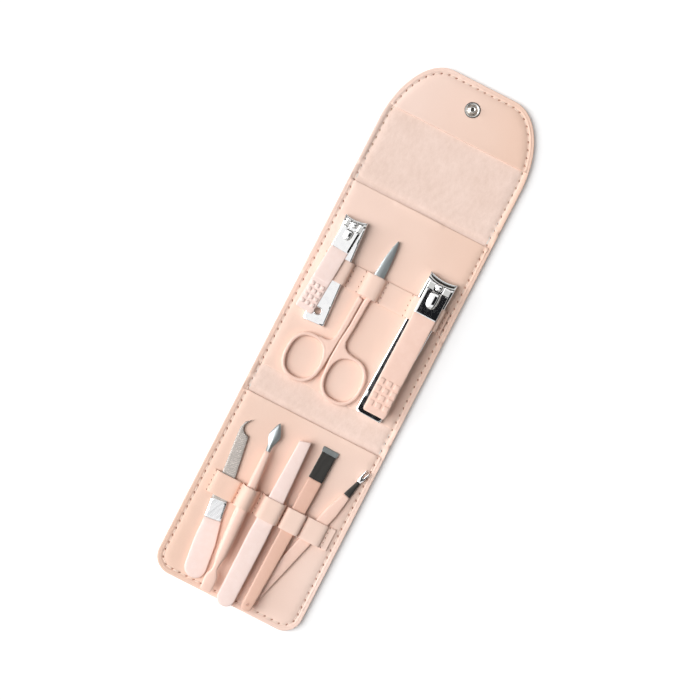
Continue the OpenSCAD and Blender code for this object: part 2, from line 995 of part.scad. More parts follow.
module scraper_blade() {
    strip_t = 1.6;
    color(steel)
        place_pitched(scraper_spot, scraper_len, scraper_pitch) {
            intersection() {
                linear_extrude(strip_t)
                    polygon([
                        [-3.9, scraper_joint_y], [3.9, scraper_joint_y], [3.9, 92], [4.5, 93.5],
                        [4.5, scraper_len], [-4.5, scraper_len], [-4.5, 93.5], [-3.9, 92]
                    ]);
                side_extrude(12)
                    polygon([
                        [scraper_joint_y, 0], [scraper_len, 0], [scraper_len, 0.3], [92.5, strip_t],
                        [scraper_joint_y, strip_t]
                    ]);
            }
            tang(scraper_joint_y, 4.4, 1, 0.9, 0);
        }
}

module scraper_handle() {
    hole_s = 4;
    color(pink)
        place_pitched(scraper_spot, scraper_len, scraper_pitch)
            difference() {
                linear_extrude(scraper_t)
                    polygon(concat(
                        arc_points(0, 2.9, 2.9, 2.9, 180, 360, 12),
                        [[3.6, 34], [3.9, scraper_joint_y], [-3.9, scraper_joint_y], [-3.6, 34]]
                    ));
                tang(scraper_joint_y, 4.4, 1, 0.9, fit);
                translate([0, hole_s, -through])
                    cylinder(d = 1.8, h = scraper_t + 2 * through, $fn = smooth_fn);
            }
}

fork_joint_y = 71.5;

// Two slim prongs on a tapered neck
module fork_prongs() {
    fork_blade_t = 1.2;
    color(steel)
        place_tool(fork_spot) {
            translate([0, 0, 0.3])
                linear_extrude(fork_blade_t)
                    polygon([
                        [-1.9, fork_joint_y], [1.9, fork_joint_y], [0.9, 81], [1.9, 83.2], [1.7, fork_len],
                        [1, fork_len], [0.4, 84.2], [-0.4, 84.2], [-1, fork_len], [-1.7, fork_len],
                        [-1.9, 83.2], [-0.9, 81]
                    ]);
            tang(fork_joint_y, 2.4, 0.8, 0.9, 0);
        }
}

module fork_handle() {
    color(pink)
        place_tool(fork_spot)
            difference() {
                linear_extrude(fork_t)
                    polygon(concat(
                        arc_points(0, 3.1, 3.1, 3.1, 180, 360, 12),
                        [[3.3, 30], [3.3, 60], [2.1, fork_joint_y], [-2.1, fork_joint_y], [-3.3, 60], [-3.3, 30]]
                    ));
                tang(fork_joint_y, 2.4, 0.8, 0.9, fit);
            }
}

middle_cover();
middle_board();
middle_lining();
middle_facing();
upper_loop_band();
lower_spine_cover();
lower_spine_padding();
lower_spine_lining();
lower_cover();
lower_board();
lower_lining();
lower_facing();
lower_loop_band();
snap_socket();
snap_eyelet();
upper_spine_cover();
upper_spine_padding();
upper_spine_lining();
flap_cover();
flap_board();
flap_lining();
flap_facing();
snap_stud();
snap_cap();
small_clipper_lower_arm();
small_clipper_upper_arm();
small_clipper_eyelet();
small_clipper_post();
small_clipper_lever();
small_clipper_grip();
large_clipper_lower_arm();
large_clipper_upper_arm();
large_clipper_rivet();
large_clipper_post();
large_clipper_lever();
large_clipper_grip();
scissors_left_half();
scissors_right_half();
scissors_screw();
hook_file_blade();
hook_file_handle();
pusher_head();
pusher_handle();
tweezers_lower_arm();
tweezers_upper_arm();
scraper_blade();
scraper_handle();
fork_prongs();
fork_handle();
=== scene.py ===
"""Dressed model of a fold-out manicure case with its eight tools, lying open on a pale floor."""
import math

import bmesh
import bpy
import numpy as np
from bpy.props import FloatProperty, FloatVectorProperty, IntProperty, PointerProperty
from mathutils import Matrix, Vector, noise
from mathutils.geometry import delaunay_2d_cdt


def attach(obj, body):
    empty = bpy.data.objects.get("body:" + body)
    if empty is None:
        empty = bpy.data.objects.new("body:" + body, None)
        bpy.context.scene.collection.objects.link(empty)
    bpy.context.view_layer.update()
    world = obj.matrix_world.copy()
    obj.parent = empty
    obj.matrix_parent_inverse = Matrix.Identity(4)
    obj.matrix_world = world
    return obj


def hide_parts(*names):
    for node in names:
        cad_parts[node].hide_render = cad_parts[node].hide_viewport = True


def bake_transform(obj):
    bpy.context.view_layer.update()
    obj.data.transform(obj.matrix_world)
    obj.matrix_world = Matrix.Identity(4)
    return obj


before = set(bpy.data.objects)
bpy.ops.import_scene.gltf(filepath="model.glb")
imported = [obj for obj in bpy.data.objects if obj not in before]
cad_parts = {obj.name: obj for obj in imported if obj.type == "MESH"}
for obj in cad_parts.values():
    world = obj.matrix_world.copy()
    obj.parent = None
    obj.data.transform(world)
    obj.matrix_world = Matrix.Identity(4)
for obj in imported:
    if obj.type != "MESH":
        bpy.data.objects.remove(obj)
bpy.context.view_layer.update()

bl_info = {
    "name": "Manicure Set Case",
    "version": (1, 0, 0),
    "blender": (4, 5, 0),
    "location": "View3D > Sidebar > Manicure Case",
    "description": "Builds a fold-out leatherette case with nail clippers, scissors, tweezers and slim tools",
    "category": "Add Mesh",
}

# ---- Sizes of the case and the places of its tools, in millimetres ----

MM = 0.001
HALF_W = 42.0
FLAP_END, FLAP_FLAT, FLAP_CURVE = 152.5, 18.0, 40.5
LOWER_END, CORNER_R = -151.0, 10.0
FOLD_A, FOLD_B, FOLD_C, FOLD_D = -32.2, -45.8, 78.0, 95.7
PANEL_T, FACING_Z, TOOL_Z = 2.7, 3.3, 3.4
FACING_INSET = 1.6
SEAM_DIP, SEAM_SPREAD, RIM_RISE, DEEPEST = 0.4, 1.3, 0.3, 0.45
MIDDLE_CUT = 22.0
STUD_Y = 138.2
SOCKET_Y = FOLD_A + FOLD_B - FOLD_C - FOLD_D + STUD_Y
# Recesses of the outside as (x, y, radius, depth), for the snap's socket and its cap.
PITS = [(0.0, SOCKET_Y, 5.06, 2.2), (0.0, STUD_Y, 6.06, 0.55)]

# A tool's spot is (x, y, angle in degrees) of its tail.
SMALL_TAIL, LARGE_TAIL = (-24.0, 0.9, 3.9), (24.0, -30.0, -2.07)
SMALL_TURN, LARGE_TURN = -4.04, -0.54
SMALL_POST_S, LARGE_POST_S = 55.3, 77.0
SMALL_AXIS_Z, LARGE_AXIS_Z = 5.9, 7.0
FILE_SPOT = (-19.7, -147.0, 7.1)
PUSHER_SPOT, PUSHER_LEN, PUSHER_PITCH = (-10.3, -149.3, 2.8), 95.4, -1.3
TWEEZERS_SPOT, TWEEZERS_LEN, TWEEZERS_H = (1.1, -152.5, 0.0), 97.0, 6.4
SCRAPER_SPOT, SCRAPER_LEN, SCRAPER_PITCH = (12.7, -149.5, -1.5), 95.5, -1.9
FORK_SPOT = (14.0, -140.8, -15.5)
LIFT = 0.15  # how far a pitched tool's head end stays off the facing

# Loops as (from x, to x, height over the facing, squareness of the arch).
UPPER_LOOPS = [(-33.2, -19.0, 4.4, 6.0), (-9.4, 0.2, 3.4, 3.0), (17.9, 34.6, 5.5, 8.0)]
LOWER_LOOPS = [(-32.3, -19.6, 2.0, 4.5), (-17.2, -8.8, 8.3, 2.4), (-4.6, 6.8, 6.7, 4.6),
               (9.0, 19.0, 4.4, 6.0), (20.6, 31.7, 2.1, 4.0)]

# Where facings and loop bands start and end, along Y.
MIDDLE_FACING, LOWER_FACING_END, FLAP_FACING_START = (-30.0, 77.5), FOLD_B - 0.2, 121.5
UPPER_BAND_Y, LOWER_BAND_Y, BAND_T = (25.0, 38.0), (-102.9, -90.5), 0.7

# The seam's groove is GROOVE_W wide; the needle holes' dimples fade within DIMPLE_SPREAD, in square millimetres.
GROOVE_W, DIMPLE_SPREAD = 0.6, 0.28

# Thickness of a scissor blade, and how high the upper one lies; a tweezers arm; the pusher's axis above its place.
BLADE_T, UPPER_BLADE, ARM_T, PUSHER_AXIS = 1.3, 1.4, 1.1, 3.3

FLOOR_HALF, SENSOR = 4000, 36
WHITE = (1.0, 1.0, 1.0)
COLOUR = {"subtype": "COLOR", "size": 3, "min": 0, "max": 1}


# ---- Settings a user would change ----

class CaseSettings(bpy.types.PropertyGroup):
    leather: FloatVectorProperty(
        name="Leatherette", description="Colour of the smooth pink leatherette", default=(0.965, 0.70, 0.58), **COLOUR)
    suede: FloatVectorProperty(
        name="Suede", description="Colour of the suede lining", default=(0.93, 0.715, 0.62), **COLOUR)
    thread: FloatVectorProperty(
        name="Thread", description="Colour of the seam thread", default=(0.97, 0.74, 0.63), **COLOUR)
    seam_inset: FloatProperty(
        name="Seam inset", description="Distance of the seam from the edge of the case, in millimetres",
        default=3.2, min=2.6, max=6)
    stitch_pitch: FloatProperty(
        name="Stitch pitch", description="Length of one stitch with its gap, in millimetres",
        default=4.2, min=2, max=8)
    hole_length: FloatProperty(
        name="Needle hole", description="Length of the slanted needle hole, in millimetres",
        default=1.3, min=0.5, max=2)


class ToolSettings(bpy.types.PropertyGroup):
    coat: FloatVectorProperty(
        name="Pink coat", description="Colour of the satin coat on the tools", default=(0.98, 0.68, 0.565), **COLOUR)
    chrome: FloatVectorProperty(
        name="Chrome", description="Colour of the polished plating", default=(0.92, 0.92, 0.92), **COLOUR)
    steel: FloatVectorProperty(
        name="Satin steel", description="Colour of the brushed blades", default=(0.46, 0.50, 0.51), **COLOUR)
    dot_columns: IntProperty(
        name="Grip columns", description="Columns of raised dots on each clipper grip", default=3, min=1, max=5)
    dot_rows: IntProperty(
        name="Grip rows", description="Rows of raised dots on each clipper grip", default=4, min=1, max=6)


class StageSettings(bpy.types.PropertyGroup):
    camera_height: FloatProperty(
        name="Camera height", description="Height of the camera above the floor", unit="LENGTH",
        default=1.0, min=0.5, max=3)
    camera_turn: FloatProperty(
        name="Camera turn", description="How far the camera is turned about the vertical", subtype="ANGLE",
        default=math.radians(27.1))
    view_width: FloatProperty(
        name="View width", description="Width of the floor that the picture takes in", unit="LENGTH",
        default=0.3684, min=0.1, max=1)
    key_strength: FloatProperty(
        name="Key light", description="Strength of the main soft light from the left", default=2.63, min=0, max=20)
    side_strength: FloatProperty(
        name="Side light", description="Strength of the low wide light from the left", default=0.85, min=0, max=20)
    sky_strength: FloatProperty(
        name="Sky", description="Strength of the even light from all round", default=0.18, min=0, max=2)


# ---- Shapes ----

def polyline_distance(x, y, line, soft=None):
    """Distance of each point from a closed outline, or from those of its edges that soft marks."""
    a = np.array(line)
    b = np.roll(a, -1, axis=0)
    if soft is not None:
        a, b = a[soft], b[soft]
    d = b - a
    squares = np.maximum((d * d).sum(1), 1e-12)
    out = np.full(len(x), 1e9)
    for (ax, ay), (dx, dy), square in zip(a, d, squares):
        t = np.clip(((x - ax) * dx + (y - ay) * dy) / square, 0, 1)
        out = np.minimum(out, np.hypot(x - ax - t * dx, y - ay - t * dy))
    return out


def inside(x, y, line):
    """True for the points inside a closed outline."""
    a = np.array(line)
    b = np.roll(a, -1, axis=0)
    hit = np.zeros(len(x), bool)
    for (ax, ay), (bx, by) in zip(a, b):
        crosses = (ay > y) != (by > y)
        at = ax + (y - ay) * (bx - ax) / (by - ay if by != ay else 1e-9)
        hit ^= crosses & (x < at)
    return hit


def well_inside(points, line, gap):
    """Those of the points that lie inside a closed outline, further than gap from it."""
    keep = inside(points[:, 0], points[:, 1], line)
    return points[keep & (polyline_distance(points[:, 0], points[:, 1], line) > gap)]


def cells(points, size=0.6):
    """The square of a coarse grid that each point lies in."""
    return [tuple(cell) for cell in np.round(points / size).astype(int)]


def signed_area(line):
    return 0.5 * sum(a[0] * b[1] - b[0] * a[1] for a, b in zip(line, line[1:] + line[:1]))


def resample(line, step, closed=True):
    """Points along a line at about an even step, with its corners kept."""
    out = []
    count = len(line) if closed else len(line) - 1
    for i in range(count):
        a, b = line[i], line[(i + 1) % len(line)]
        n = max(1, round(math.dist(a, b) / step))
        out += [(a[0] + (b[0] - a[0]) * k / n, a[1] + (b[1] - a[1]) * k / n) for k in range(n)]
    if not closed:
        out.append(tuple(line[-1]))
    return out


def arc(cx, cy, rx, ry, start, end, steps):
    return [(cx + rx * math.cos(math.radians(start + (end - start) * i / steps)),
             cy + ry * math.sin(math.radians(start + (end - start) * i / steps))) for i in range(steps + 1)]


def rounded(line, r, steps=4):
    """A closed outline with each corner rounded; r is one radius or one for each corner."""
    out = []
    n = len(line)
    radii = r if isinstance(r, (list, tuple)) else [r] * n
    for i in range(n):
        p, a, b = Vector(line[i]), Vector(line[i - 1]), Vector(line[(i + 1) % n])
        to_a, to_b = (a - p), (b - p)
        cut = min(radii[i], 0.45 * to_a.length, 0.45 * to_b.length)
        if cut < 1e-3:
            out.append(tuple(p))
            continue
        p0, p1 = p + to_a.normalized() * cut, p + to_b.normalized() * cut
        for k in range(steps + 1):
            t = k / steps
            q = p0 * (1 - t) ** 2 + p * 2 * t * (1 - t) + p1 * t ** 2
            out.append((q.x, q.y))
    return out


def edge_drop(d, r):
    """How far a rounded edge of radius r has fallen at distance d from the edge."""
    near = np.minimum(d, r)
    return r - np.sqrt(np.maximum(r * r - (r - near) ** 2, 0))


def crown_drop(d):
    """How far a slightly crowned face has fallen at distance d from its edge, as a share of the crown."""
    return np.clip(1 - d / 4.0, 0, 1) ** 2


def place(spot, pitch=0.0, z=TOOL_Z):
    """A tool's own frame: its tail at the spot, tilted about Z and pitched about X."""
    return (Matrix.Translation((spot[0], spot[1], z)) @ Matrix.Rotation(math.radians(spot[2]), 4, "Z")
            @ Matrix.Rotation(math.radians(pitch), 4, "X"))


def place_pitched(spot, length, pitch):
    return place(spot, pitch, TOOL_Z + LIFT + length * math.sin(math.radians(-pitch)))


def place_lever(spot, post_s, turn, z=0.0):
    return (place(spot) @ Matrix.Translation((0, post_s, z))
            @ Matrix.Rotation(math.radians(turn - spot[2]), 4, "Z"))


def face_outward(mesh):
    """Turns the faces of a closed mesh outward."""
    shell = bmesh.new()
    shell.from_mesh(mesh)
    if all(len(edge.link_faces) == 2 for edge in shell.edges):
        bmesh.ops.recalc_face_normals(shell, faces=shell.faces)
        shell.to_mesh(mesh)
    shell.free()


def make_object(name, verts, faces, materials, slots=None, matrix=None, sharp=40):
    """A smooth-shaded mesh from millimetres, with edges steeper than the sharp angle kept crisp."""
    pts = np.array(verts, float).reshape(-1, 3)
    if matrix is not None:
        m = np.array(matrix)
        pts = pts @ m[:3, :3].T + m[:3, 3]
    mesh = bpy.data.meshes.new(name)
    mesh.from_pydata((pts * MM).tolist(), [], faces)
    for material in materials if isinstance(materials, (list, tuple)) else [materials]:
        mesh.materials.append(material)
    mesh.polygons.foreach_set("use_smooth", [True] * len(mesh.polygons))
    if slots is not None:
        mesh.polygons.foreach_set("material_index", slots)
    mesh.validate()
    face_outward(mesh)
    mesh.update()
    mesh.set_sharp_from_angle(angle=math.radians(sharp))
    obj = bpy.data.objects.new(name, mesh)
    bpy.context.scene.collection.objects.link(obj)
    return obj


def unit(vectors):
    return vectors / np.maximum(np.hypot(vectors[:, 0], vectors[:, 1]), 1e-9)[:, None]


def form(name, border, top, bottom, materials, rings, grid, extra=(), soft=None, slot_of=None, matrix=None,
         sharp=40):
    """A closed solid between two heights over an outline.

    top and bottom give a height for arrays x, y and d, the distance from the soft edges. Points are
    added on rings inside the edge, on a grid, and where extra says.
    """
    border = [tuple(p) for p in border]
    if signed_area(border) < 0:
        border = border[::-1]
        if soft is not None:
            soft = list(soft)[::-1]
            soft = soft[1:] + soft[:1]
    n = len(border)
    soft = np.array([True] * n if soft is None else soft)
    slot_of = slot_of or (lambda middle, depth, is_top: 0)
    edge = np.array(border)
    tangent = unit(unit(np.roll(edge, -1, 0) - edge) + unit(edge - np.roll(edge, 1, 0)))
    inward = np.stack([-tangent[:, 1], tangent[:, 0]], 1)
    lo, hi = edge.min(0), edge.max(0)
    xs = np.arange(lo[0] + grid / 2, hi[0], grid)
    ys = np.arange(lo[1] + grid / 2, hi[1], grid)
    gx, gy = [a.ravel() for a in np.meshgrid(xs, ys)]
    gx = gx + np.where((np.round((gy - lo[1]) / grid - 0.5) % 2) > 0, grid / 4, -grid / 4)
    grid_points = well_inside(np.stack([gx, gy], 1), border, max(rings) + 0.45 * grid)
    extra_points = well_inside(np.array(extra, float).reshape(-1, 2), border, 0.03)
    taken = set(cells(extra_points))
    free = np.array([cell not in taken for cell in cells(grid_points)], bool)
    inner = np.concatenate([well_inside(edge + inward * r, border, 0.93 * r) for r in rings]
                           + [grid_points[free], extra_points])
    inner = inner[np.unique(np.round(inner / 0.02).astype(int), axis=0, return_index=True)[1]]
    points = [Vector(p) for p in (*border, *inner)]
    flat, _, tris, origin, _, _ = delaunay_2d_cdt(points, [], [list(range(n))], 1, 1e-5)
    xy = np.array([tuple(v) for v in flat])
    d = polyline_distance(xy[:, 0], xy[:, 1], border, soft)
    upper, lower = top(xy[:, 0], xy[:, 1], d), bottom(xy[:, 0], xy[:, 1], d)
    at_border = {k: i for i, ids in enumerate(origin) for k in ids if k < n}
    ring = [at_border[k] for k in range(n) if k in at_border]
    verts = [(x, y, z) for (x, y), z in zip(xy, upper)]
    twin, rim = {}, set(ring)
    for i, ((x, y), z) in enumerate(zip(xy, lower)):
        if i in rim and abs(upper[i] - z) < 0.02:
            twin[i] = i
        else:
            twin[i] = len(verts)
            verts.append((x, y, z))
    faces, slots = [], []
    for t in tris:
        a, b, c = t[:3]
        ab, ac = xy[b] - xy[a], xy[c] - xy[a]
        if ab[0] * ac[1] - ab[1] * ac[0] < 0:
            a, b, c = a, c, b
        middle, depth = (xy[a] + xy[b] + xy[c]) / 3, (d[a] + d[b] + d[c]) / 3
        faces += [(a, b, c), (twin[a], twin[c], twin[b])]
        slots += [slot_of(middle, depth, True), slot_of(middle, depth, False)]
    for a, b in zip(ring, ring[1:] + ring[:1]):
        face = [a, twin[a], twin[b], b]
        face = [v for i, v in enumerate(face) if v not in face[:i]]
        if len(face) > 2:
            faces.append(tuple(face))
            slots.append(slot_of((xy[a] + xy[b]) / 2, 0.0, False))
    return make_object(name, verts, faces, materials, slots, matrix, sharp)


def round_rings(r):
    """Distances from the edge that follow a quarter circle of radius r."""
    return [r * (1 - math.cos(math.radians(a))) for a in (22, 42, 62, 90)]


def plate(name, border, z0, z1, r, materials, crown=0.0, step=1.2, grid=3.0, matrix=None, holes=(), shape=None,
          extra=()):
    """A flat part with rounded edges, a slight crown on top, and round holes cut through."""
    shape = shape or (lambda x, y: 0)

    def top(x, y, d):
        return z1 - edge_drop(d, r) - crown * crown_drop(d) + shape(x, y)

    def bottom(x, y, d):
        return z0 + edge_drop(d, r) + shape(x, y)

    obj = form(name, resample(border, step), top, bottom, materials, round_rings(r) + [1.0 + r], grid,
               extra=extra, matrix=matrix)
    for centre, hole_d in holes:
        cut_round(obj, centre, hole_d, z0 - 2, z1 + 2, matrix)
    return obj


def cut_round(obj, centre, diameter, z0, z1, matrix):
    """Cuts a round hole right through a piece."""
    r = diameter / 2
    cutter = lathe("cutter", [(0, z0), (r, z0), (r, z1), (0, z1)], [obj.data.materials[0]],
                   matrix=(matrix or Matrix()) @ Matrix.Translation((centre[0], centre[1], 0)))
    modifier = obj.modifiers.new("hole", "BOOLEAN")
    modifier.operation = "DIFFERENCE"
    modifier.solver = "EXACT"
    modifier.object = cutter
    apply_modifiers(obj)
    bpy.data.objects.remove(cutter)
    obj.data.set_sharp_from_angle(angle=math.radians(40))


def apply_modifiers(obj):
    graph = bpy.context.evaluated_depsgraph_get()
    graph.update()
    mesh = bpy.data.meshes.new_from_object(obj.evaluated_get(graph))
    old = obj.data
    obj.modifiers.clear()
    obj.data = mesh
    bpy.data.meshes.remove(old)
    obj.data.name = obj.name


def lathe(name, profile, materials, steps=32, matrix=None, sharp=40):
    """A turned form; profile is a list of (radius, height), from the bottom up."""
    verts, rows = [], []
    for r, z in profile:
        if r < 1e-6:
            rows.append([len(verts)])
            verts.append((0, 0, z))
        else:
            rows.append(list(range(len(verts), len(verts) + steps)))
            verts += [(r * math.cos(2 * math.pi * k / steps), r * math.sin(2 * math.pi * k / steps), z)
                      for k in range(steps)]
    faces = []
    for low, high in zip(rows, rows[1:]):
        for k in range(steps):
            q = (k + 1) % steps
            if len(low) == 1 and len(high) > 1:
                faces.append((low[0], high[q], high[k]))
            elif len(high) == 1 and len(low) > 1:
                faces.append((low[k], low[q], high[0]))
            elif len(low) > 1 and len(high) > 1:
                faces.append((low[k], low[q], high[q], high[k]))
    return make_object(name, verts, faces, materials, None, matrix, sharp)


def superellipse(steps, exponent):
    """Points round a squarish ellipse of half width and half height 1."""
    out = []
    for k in range(steps):
        t = 2 * math.pi * k / steps
        c, s = math.cos(t), math.sin(t)
        out.append((math.copysign(abs(c) ** exponent, c), math.copysign(abs(s) ** exponent, s)))
    return out


def ring_faces(rows, steps, start=0, closed=False):
    """Quads between each ring of points and the next; the first vertex is number start."""
    def at(row, k):
        return start + row % rows * steps + k % steps

    return [(at(i, k), at(i + 1, k), at(i + 1, k + 1), at(i, k + 1))
            for i in range(rows if closed else rows - 1) for k in range(steps)]


def flipped(faces):
    return [(a, d, c, b) for a, b, c, d in faces]


def loft(name, stations, materials, matrix=None, steps=28, power=2.4, sharp=40):
    """A bar along Y through stations of (y, centre z, half width, half thickness)."""
    verts = [(hw * u, y, cz + ht * v) for y, cz, hw, ht in stations for u, v in superellipse(steps, 2 / power)]
    faces = ring_faces(len(stations), steps)
    low, high = len(verts), len(verts) + 1
    last = low - steps
    verts += [(0, y, cz) for y, cz, _, _ in (stations[0], stations[-1])]
    for k in range(steps):
        q = (k + 1) % steps
        faces += [(low, k, q), (high, last + q, last + k)]
    return make_object(name, verts, faces, materials, None, matrix, sharp)


def tube(name, path, half_w, half_t, z, materials, power, steps=16):
    """A wire along a closed flat path."""
    verts = []
    for i, (x, y) in enumerate(path):
        before, after = path[i - 1], path[(i + 1) % len(path)]
        t = Vector((after[0] - before[0], after[1] - before[1])).normalized()
        for u, v in superellipse(steps, 2 / power):
            across = half_w * u
            verts.append((x - t.y * across, y + t.x * across, z + half_t * v))
    return make_object(name, verts, flipped(ring_faces(len(path), steps, closed=True)), materials)


def fuse(name, parts, voxel, rounds):
    """Melts overlapping solids into one skin with soft fillets."""
    body = join(parts)
    body.name = name
    body.data.name = name
    remesh = body.modifiers.new("melt", "REMESH")
    remesh.mode = "VOXEL"
    remesh.voxel_size = voxel * MM
    remesh.use_smooth_shade = True
    relax = body.modifiers.new("relax", "SMOOTH")
    relax.factor = 0.5
    relax.iterations = rounds
    apply_modifiers(body)
    body.data.polygons.foreach_set("use_smooth", [True] * len(body.data.polygons))
    body.data.set_sharp_from_angle(angle=math.radians(50))
    return body


def oval(cx, cy, rx, ry, steps=72):
    return [(cx + rx * u, cy + ry * v) for u, v in superellipse(steps, 0.86)]


# ---- Shader node groups and materials ----


def feed(tree, socket, value):
    """Sets an input to a constant, or links it to the output of another node."""
    if isinstance(value, bpy.types.NodeSocket):
        tree.links.new(value, socket)
    elif socket.type == "RGBA":
        socket.default_value = (*value, 1)
    else:
        socket.default_value = value


def add_node(tree, kind, inputs, **options):
    """A new shader node with its options and what its inputs are fed with."""
    node = tree.nodes.new("ShaderNode" + kind)
    for key, value in options.items():
        setattr(node, key, value)
    for label, value in inputs.items():
        feed(tree, node.inputs[label], value)
    return node


def value_node(tree, operation, *values, clamp=False):
    return add_node(tree, "Math", dict(enumerate(values)), operation=operation, use_clamp=clamp).outputs[0]


def noise_node(tree, vector, scale, detail=3.0, rough=0.5):
    return add_node(tree, "TexNoise", {"Vector": vector, "Scale": scale, "Detail": detail,
                                       "Roughness": rough}).outputs["Fac"]


def map_range(tree, value, source=(0, 1), target=(0, 1)):
    """Maps one range of a value to another and holds it at the ends."""
    return add_node(tree, "MapRange", {"Value": value, "From Min": source[0], "From Max": source[1],
                                       "To Min": target[0], "To Max": target[1]}).outputs[0]


def split_node(tree, vector):
    return add_node(tree, "SeparateXYZ", {0: vector}).outputs


def spin_node(tree, vector, angle):
    return add_node(tree, "VectorRotate", {"Vector": vector, "Angle": angle}, rotation_type="Z_AXIS").outputs[0]


def object_point(tree):
    return tree.nodes.new("ShaderNodeTexCoord").outputs["Object"]


def grain_pattern(tree, given):
    """Fine pebbled grain of leatherette."""
    point = object_point(tree)
    pebbles = add_node(tree, "TexVoronoi", {"Vector": point, "Scale": given["Scale"]}, feature="SMOOTH_F1")
    fine = noise_node(tree, point, 5200.0, 2.0)
    broad = noise_node(tree, point, 22.0, 2.0)
    return {"Height": value_node(tree, "MULTIPLY_ADD", pebbles.outputs["Distance"], 0.8,
                                 value_node(tree, "MULTIPLY", fine, 0.4)),
            "Tone": value_node(tree, "MULTIPLY_ADD", broad, 0.7, value_node(tree, "MULTIPLY", fine, 0.3))}


def nap_pattern(tree, given):
    """Short brushed nap of suede, with rub marks."""
    point = object_point(tree)
    brushed = add_node(tree, "Mapping", {"Vector": point, "Rotation": (0, 0, 0.6), "Scale": (1, 0.6, 1)}).outputs[0]
    fibre = noise_node(tree, brushed, given["Scale"], 4.0, 0.7)
    rub = noise_node(tree, brushed, 420.0, 4.0, 0.65)
    patch = noise_node(tree, point, 60.0, 3.0)
    mixed = value_node(tree, "MULTIPLY_ADD", rub, 0.45, value_node(tree, "MULTIPLY", patch, 0.3))
    return {"Height": fibre, "Tone": value_node(tree, "MULTIPLY_ADD", fibre, 0.25, mixed)}


def brushed_pattern(tree, given):
    """Long fine scratches along one direction."""
    turned = spin_node(tree, object_point(tree), given["Turn"])
    long = add_node(tree, "Mapping", {"Vector": turned, "Scale": (1, 0.05, 1)}).outputs[0]
    lines = noise_node(tree, long, given["Scale"], 5.0, 0.65)
    return {"Height": lines, "Tone": lines}


def wear_pattern(tree, given):
    """Soft handling marks, for a slight change of gloss and colour."""
    smear = noise_node(tree, object_point(tree), given["Scale"], 4.0, 0.6)
    return {"Mask": map_range(tree, smear, (0.42, 0.68))}


PATTERNS = {
    "Leather grain": (grain_pattern, ("Scale",), ("Height", "Tone")),
    "Suede nap": (nap_pattern, ("Scale",), ("Height", "Tone")),
    "Brushed lines": (brushed_pattern, ("Scale", "Turn"), ("Height", "Tone")),
    "Handling marks": (wear_pattern, ("Scale",), ("Mask",)),
}


def make_group(name):
    """A shader node group of number sockets for one of the shared patterns."""
    pattern, inputs, outputs = PATTERNS[name]
    tree = bpy.data.node_groups.new(name, "ShaderNodeTree")
    for side, labels in (("INPUT", inputs), ("OUTPUT", outputs)):
        for label in labels:
            tree.interface.new_socket(label, in_out=side, socket_type="NodeSocketFloat")
    given, result = tree.nodes.new("NodeGroupInput"), tree.nodes.new("NodeGroupOutput")
    for label, value in pattern(tree, given.outputs).items():
        feed(tree, result.inputs[label], value)
    return tree


def use_group(tree, name, **values):
    """Outputs of a shared pattern, whose group is made when it is first asked for."""
    shared = bpy.data.node_groups.get(name) or make_group(name)
    node = tree.nodes.new("ShaderNodeGroup")
    node.node_tree = shared
    for label, value in values.items():
        feed(tree, node.inputs[label], value)
    return node.outputs


def shade(colour, factor):
    return tuple(min(1.0, max(0.0, c * f)) for c, f in zip(colour, factor))


def tones(colour, low, high):
    return shade(colour, low), shade(colour, high)


def blend_colours(tree, mask, first, second, blend_type="MIX"):
    return add_node(tree, "Mix", {0: mask, 6: first, 7: second}, data_type="RGBA", blend_type=blend_type).outputs[2]


def bump(tree, height, strength, distance):
    return add_node(tree, "Bump", {"Strength": strength, "Distance": distance, "Height": height}).outputs[0]


def principled(name, **constants):
    made = bpy.data.materials.new(name)
    made.use_nodes = True
    shader = made.node_tree.nodes["Principled BSDF"]
    for label, value in constants.items():
        feed(made.node_tree, shader.inputs[label.replace("_", " ")], value)
    made.diffuse_color = (*constants["Base_Color"], 1)
    return made, made.node_tree, shader.inputs


def painted_light_and_shade(tree, colour):
    """Painted light and shade: broad paler and deeper areas of the sheet, from corner to corner, that stand for how
    the light falls across it.
    """
    split = split_node(tree, object_point(tree))
    across = value_node(tree, "MULTIPLY", split["X"], value_node(tree, "ADD", split["Y"], 0.02))
    pale = value_node(tree, "MULTIPLY_ADD", across, -130.0, 0.5, clamp=True)
    painted_wash = blend_colours(tree, pale, (0.96, 0.93, 0.90), (1.03, 1.075, 1.12))
    return blend_colours(tree, 1.0, colour, painted_wash, "MULTIPLY")


def leather_masks(tree):
    grain = use_group(tree, "Leather grain", Scale=1900.0)
    return (map_range(tree, grain["Tone"], (0.3, 0.7)), use_group(tree, "Handling marks", Scale=70.0)["Mask"],
            grain["Height"])


def suede_masks(tree):
    nap = use_group(tree, "Suede nap", Scale=2600.0)
    return map_range(tree, nap["Tone"], (0.36, 0.64)), nap["Height"], nap["Height"]


def felt_masks(tree):
    nap = use_group(tree, "Suede nap", Scale=1500.0)
    return nap["Tone"], nap["Height"], nap["Height"]


def fibre_masks(tree, scale, detail=2.0, rough=0.5):
    return (noise_node(tree, object_point(tree), scale, detail, rough),) * 3


def worn_masks(tree, wear_scale, name, **values):
    marks = use_group(tree, "Handling marks", Scale=wear_scale)["Mask"]
    return marks, marks, use_group(tree, name, **values)["Height"]


def steel_masks(tree, scale, turn):
    lines = use_group(tree, "Brushed lines", Scale=scale, Turn=turn)
    return map_range(tree, lines["Tone"], (0.3, 0.7)), lines["Tone"], lines["Height"]


def teeth_masks(tree):
    """The crossed teeth of a nail file, turned with the file."""
    point = object_point(tree)
    waves = [add_node(tree, "TexWave", {
        "Vector": spin_node(tree, point, angle + math.radians(-FILE_SPOT[2])), "Scale": 330.0, "Distortion": 6.0,
        "Detail": 2.0, "Detail Scale": 3.0}).outputs["Fac"] for angle in (1.45, 1.62)]
    return (value_node(tree, "MULTIPLY", *waves),) * 3


